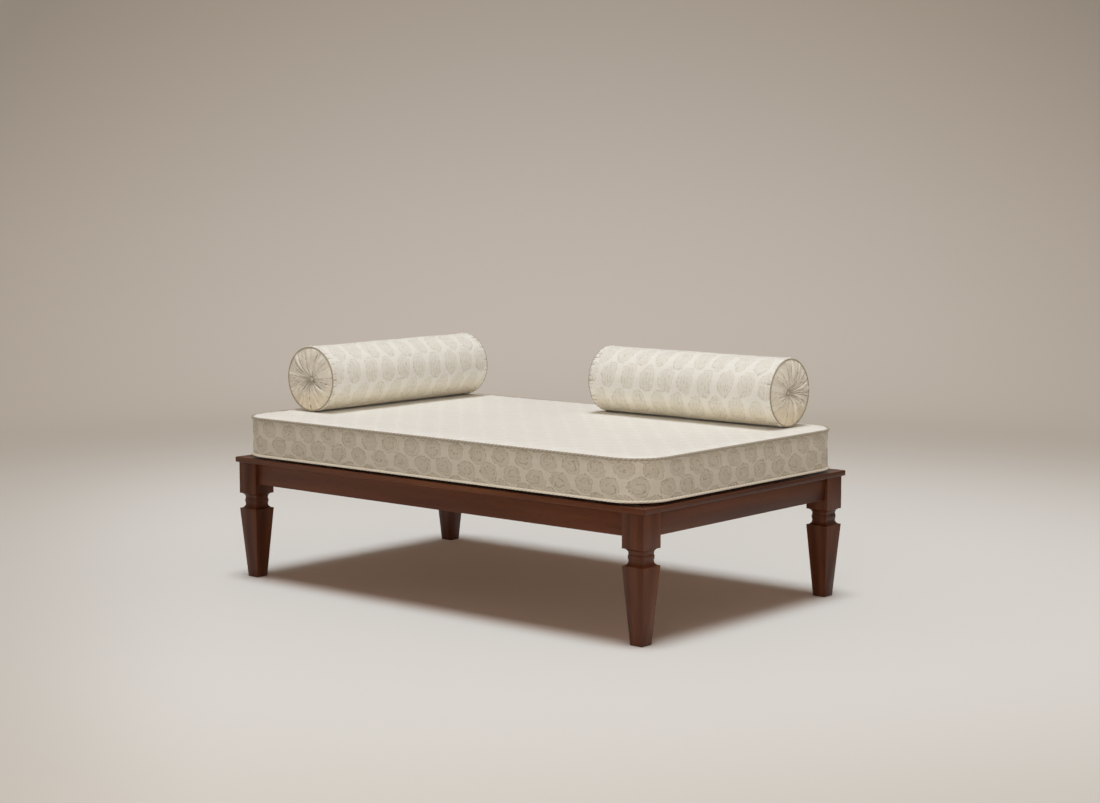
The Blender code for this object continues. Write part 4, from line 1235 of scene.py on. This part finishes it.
def backdrop_paper():
    """Floor and wall: pale underfoot with a painted brown shadow beneath the bed and painted darkening
    towards the far floor and the lower and left edges of the view, rising to a warm grey wall that glows,
    brightest in a painted pool of light in the middle of the view.
    """
    paper = Finish("studio_paper")
    place = paper.object_place()
    turn = math.radians(CAMERA_YAW)
    tilt = math.radians(CAMERA_PITCH)
    ahead = (-math.sin(turn) * math.cos(tilt), math.cos(turn) * math.cos(tilt), math.sin(tilt))
    beside = (math.cos(turn), math.sin(turn), 0.0)
    above = tuple(Vector(beside).cross(Vector(ahead)))
    toward = paper.vector("SUBTRACT", place, CAMERA_PLACE)
    forward = paper.vector("DOT_PRODUCT", toward, ahead)
    depth = paper.math("MAXIMUM", forward, 2.5)
    half = math.tan(math.radians(CAMERA_VIEW_ANGLE / 2))
    x = paper.vector("DOT_PRODUCT", toward, beside) / depth / half - 0.03
    y = paper.vector("DOT_PRODUCT", toward, above) / depth / half - 0.10
    # Painted pool of light: the wall glows brightest in the middle of the view and less towards its edges
    spread = x * x * 0.30 + y * y * 0.45
    pool = (1.0 - spread) * paper.smooth(forward, 3.0, 7.0)
    pool = paper.math("MAXIMUM", pool, 0.55)
    flat = paper.vector("MULTIPLY", place, (1.0, 1.0, 0.0))
    away = paper.vector("LENGTH", flat)
    # Painted falloff: the floor darkens away from the middle
    ground = paper.mix(paper.smooth(away, 1.5, 5.0), FLOOR_NEAR, FLOOR_PAINTED_FALLOFF)
    # Painted shadow: beneath the bed the floor is mixed to a warm brown that stands for the bed's shade
    beneath_x, beneath_y, _ = paper.separate(place)
    painted_shadow = paper.smooth(abs(beneath_x), 0.90, 0.72) * paper.smooth(abs(beneath_y), 0.57, 0.41)
    ground = paper.mix(painted_shadow, ground, FLOOR_SHADED)
    # Painted darkening towards the lower and left edges of the view, where the light falls off
    ground = paper.mix(paper.smooth(y, -0.55, -0.95, 0.0, 0.30), ground, FLOOR_PAINTED_FALLOFF)
    ground = paper.mix(paper.smooth(x, -0.60, -1.15, 0.0, 0.45), ground, FLOOR_PAINTED_FALLOFF)
    wall = paper.smooth(away, 3.2, 6.9)
    colour = paper.mix(wall, ground, (0.20, 0.18, 0.16))
    paper.put(Base_Color=colour, Roughness=0.9, Specular_IOR_Level=0.1,
              Emission_Color=paper.mix(paper.smooth(pool, 0.65, 1.0), WALL_EDGE, WALL_MIDDLE),
              Emission_Strength=wall * pool * WALL_GLOW)
    return paper.material


def soft_box(name, place, size, watts, colour):
    lamp = bpy.data.lights.new(name, "AREA")
    lamp.shape = "RECTANGLE"
    lamp.size, lamp.size_y = size
    lamp.energy = watts
    lamp.color = colour
    stand = bpy.data.objects.new(name, lamp)
    stand.location = place
    stand.rotation_euler = (Vector((0, 0, 0.4)) - stand.location).to_track_quat("-Z", "Y").to_euler()
    bpy.context.scene.collection.objects.link(stand)


def studio():
    """A pale floor that rises in a wide cove to a warm grey wall, with broad light from overhead."""
    floor_radius, cove, height, sides = 5.2, 3.0, 7.0, 128
    outline = [(0.02, 0.0), (1.5, 0.0), (3.0, 0.0), (floor_radius, 0.0)]
    for step in range(1, 33):
        angle = math.pi / 2 * step / 32
        outline.append((floor_radius + cove * math.sin(angle), cove * (1 - math.cos(angle))))
    outline.append((floor_radius + cove, height))
    shape = bmesh.new()
    rings = [[shape.verts.new((r * math.cos(TURN * i / sides), r * math.sin(TURN * i / sides), z))
              for i in range(sides)] for r, z in outline]
    shape.faces.new(rings[0])
    for inner, outer in zip(rings, rings[1:]):
        for i in range(sides):
            j = (i + 1) % sides
            shape.faces.new((inner[i], outer[i], outer[j], inner[j]))
    mesh = bpy.data.meshes.new("studio_floor")
    shape.to_mesh(mesh)
    shape.free()
    mesh.shade_smooth()
    link("studio_floor", mesh, backdrop_paper())

    sun = bpy.data.lights.new("overhead", "SUN")
    sun.energy = OVERHEAD
    sun.angle = math.radians(OVERHEAD_SPREAD)
    sun.color = (0.97, 1.01, 1.03)
    lamp = bpy.data.objects.new("overhead", sun)
    lamp.rotation_euler = (math.radians(3), math.radians(2), 0)
    bpy.context.scene.collection.objects.link(lamp)
    soft_box("front_fill", (2.7, -4.4, 1.10), (2.0, 1.4), FRONT_FILL, (1.0, 0.94, 0.86))
    soft_box("side_fill", (4.8, 0.4, 1.2), (2.0, 1.4), SIDE_FILL, (1.0, 0.88, 0.74))

    world = bpy.data.worlds.new("studio_air")
    world.use_nodes = True
    air = world.node_tree.nodes["Background"]
    air.inputs["Color"].default_value = (1.0, 0.73, 0.53, 1.0)
    air.inputs["Strength"].default_value = AIR
    bpy.context.scene.world = world
    bpy.context.scene.view_settings.view_transform = "Standard"


def camera():
    data = bpy.data.cameras.new("camera")
    data.sensor_width = 36.0
    data.angle = math.radians(CAMERA_VIEW_ANGLE)
    eye = bpy.data.objects.new("camera", data)
    eye.location = CAMERA_PLACE
    eye.rotation_euler = (math.radians(90 + CAMERA_PITCH), 0, math.radians(CAMERA_YAW))
    bpy.context.scene.collection.objects.link(eye)
    bpy.context.scene.camera = eye


# ---------------------------------------------------------------- build

camera()
studio()
mahogany = polished_mahogany()
birch = plain_birch()
finish_timber(mahogany, birch)
zinc = plain_metal("zinc_steel", (0.60, 0.60, 0.62), 0.30)
brass = plain_metal("dull_brass", (0.55, 0.42, 0.22), 0.32)
small_metal(zinc, brass)
threaded_bolts(zinc)
screws(zinc)
fillings(filling("seat_foam", (0.78, 0.72, 0.52), 0.0016),
         filling("fibre_wadding", (0.82, 0.81, 0.77), 0.004))

# The boxing is a darker, warmer copy of the panel's ivory cloth: painted shade for its dimmer, side-facing
# strip
boxing = ivory_damask("ivory_damask_boxing", 0.75, (0.60, 0.553, 0.47), (0.525, 0.474, 0.383),
                      (0.315, 0.27, 0.20))
panel = ivory_damask("ivory_damask_panel", 0.60, (0.87, 0.865, 0.83), (0.81, 0.795, 0.75),
                     (0.74, 0.715, 0.65))
tube = ivory_damask("ivory_damask_tube", 0.62, (0.895, 0.89, 0.845), (0.81, 0.79, 0.725), (0.57, 0.53, 0.44),
                    half=(0.42, 0.275), strokes=True, folds=True)
gathered = ivory_damask("ivory_damask_gathered", 0.55, (0.86, 0.82, 0.735), (0.77, 0.72, 0.62),
                        (0.52, 0.46, 0.36), folds=True)
mattress_shell((panel, boxing))
bolster_cover("side_bolster", SIDE_BOLSTER, ((38, 2.7), (30, 1.0)), 41, (tube, gathered))
bolster_cover("back_bolster", BACK_BOLSTER, ((24, 4.0), (24, 0.5)), 57, (tube, gathered))
for body, bolster in BOLSTERS.items():
    for end, side in zip(bolster["ends"], (-1, 1)):
        covered_button(f"{body}_button_cloth_{end}", body, f"{body}_button_{end}", bolster, side, gathered)
piping_seams(piping_cloth("stone_piping", (0.46, 0.40, 0.31), (0.155, 0.128, 0.09)),
             piping_cloth("pale_piping", (0.84, 0.78, 0.66), (0.62, 0.56, 0.45)),
             piping_cloth("ring_piping", (0.50, 0.44, 0.34), (0.20, 0.165, 0.115)))
zips((zip_webbing(), sewing_thread(), brass))
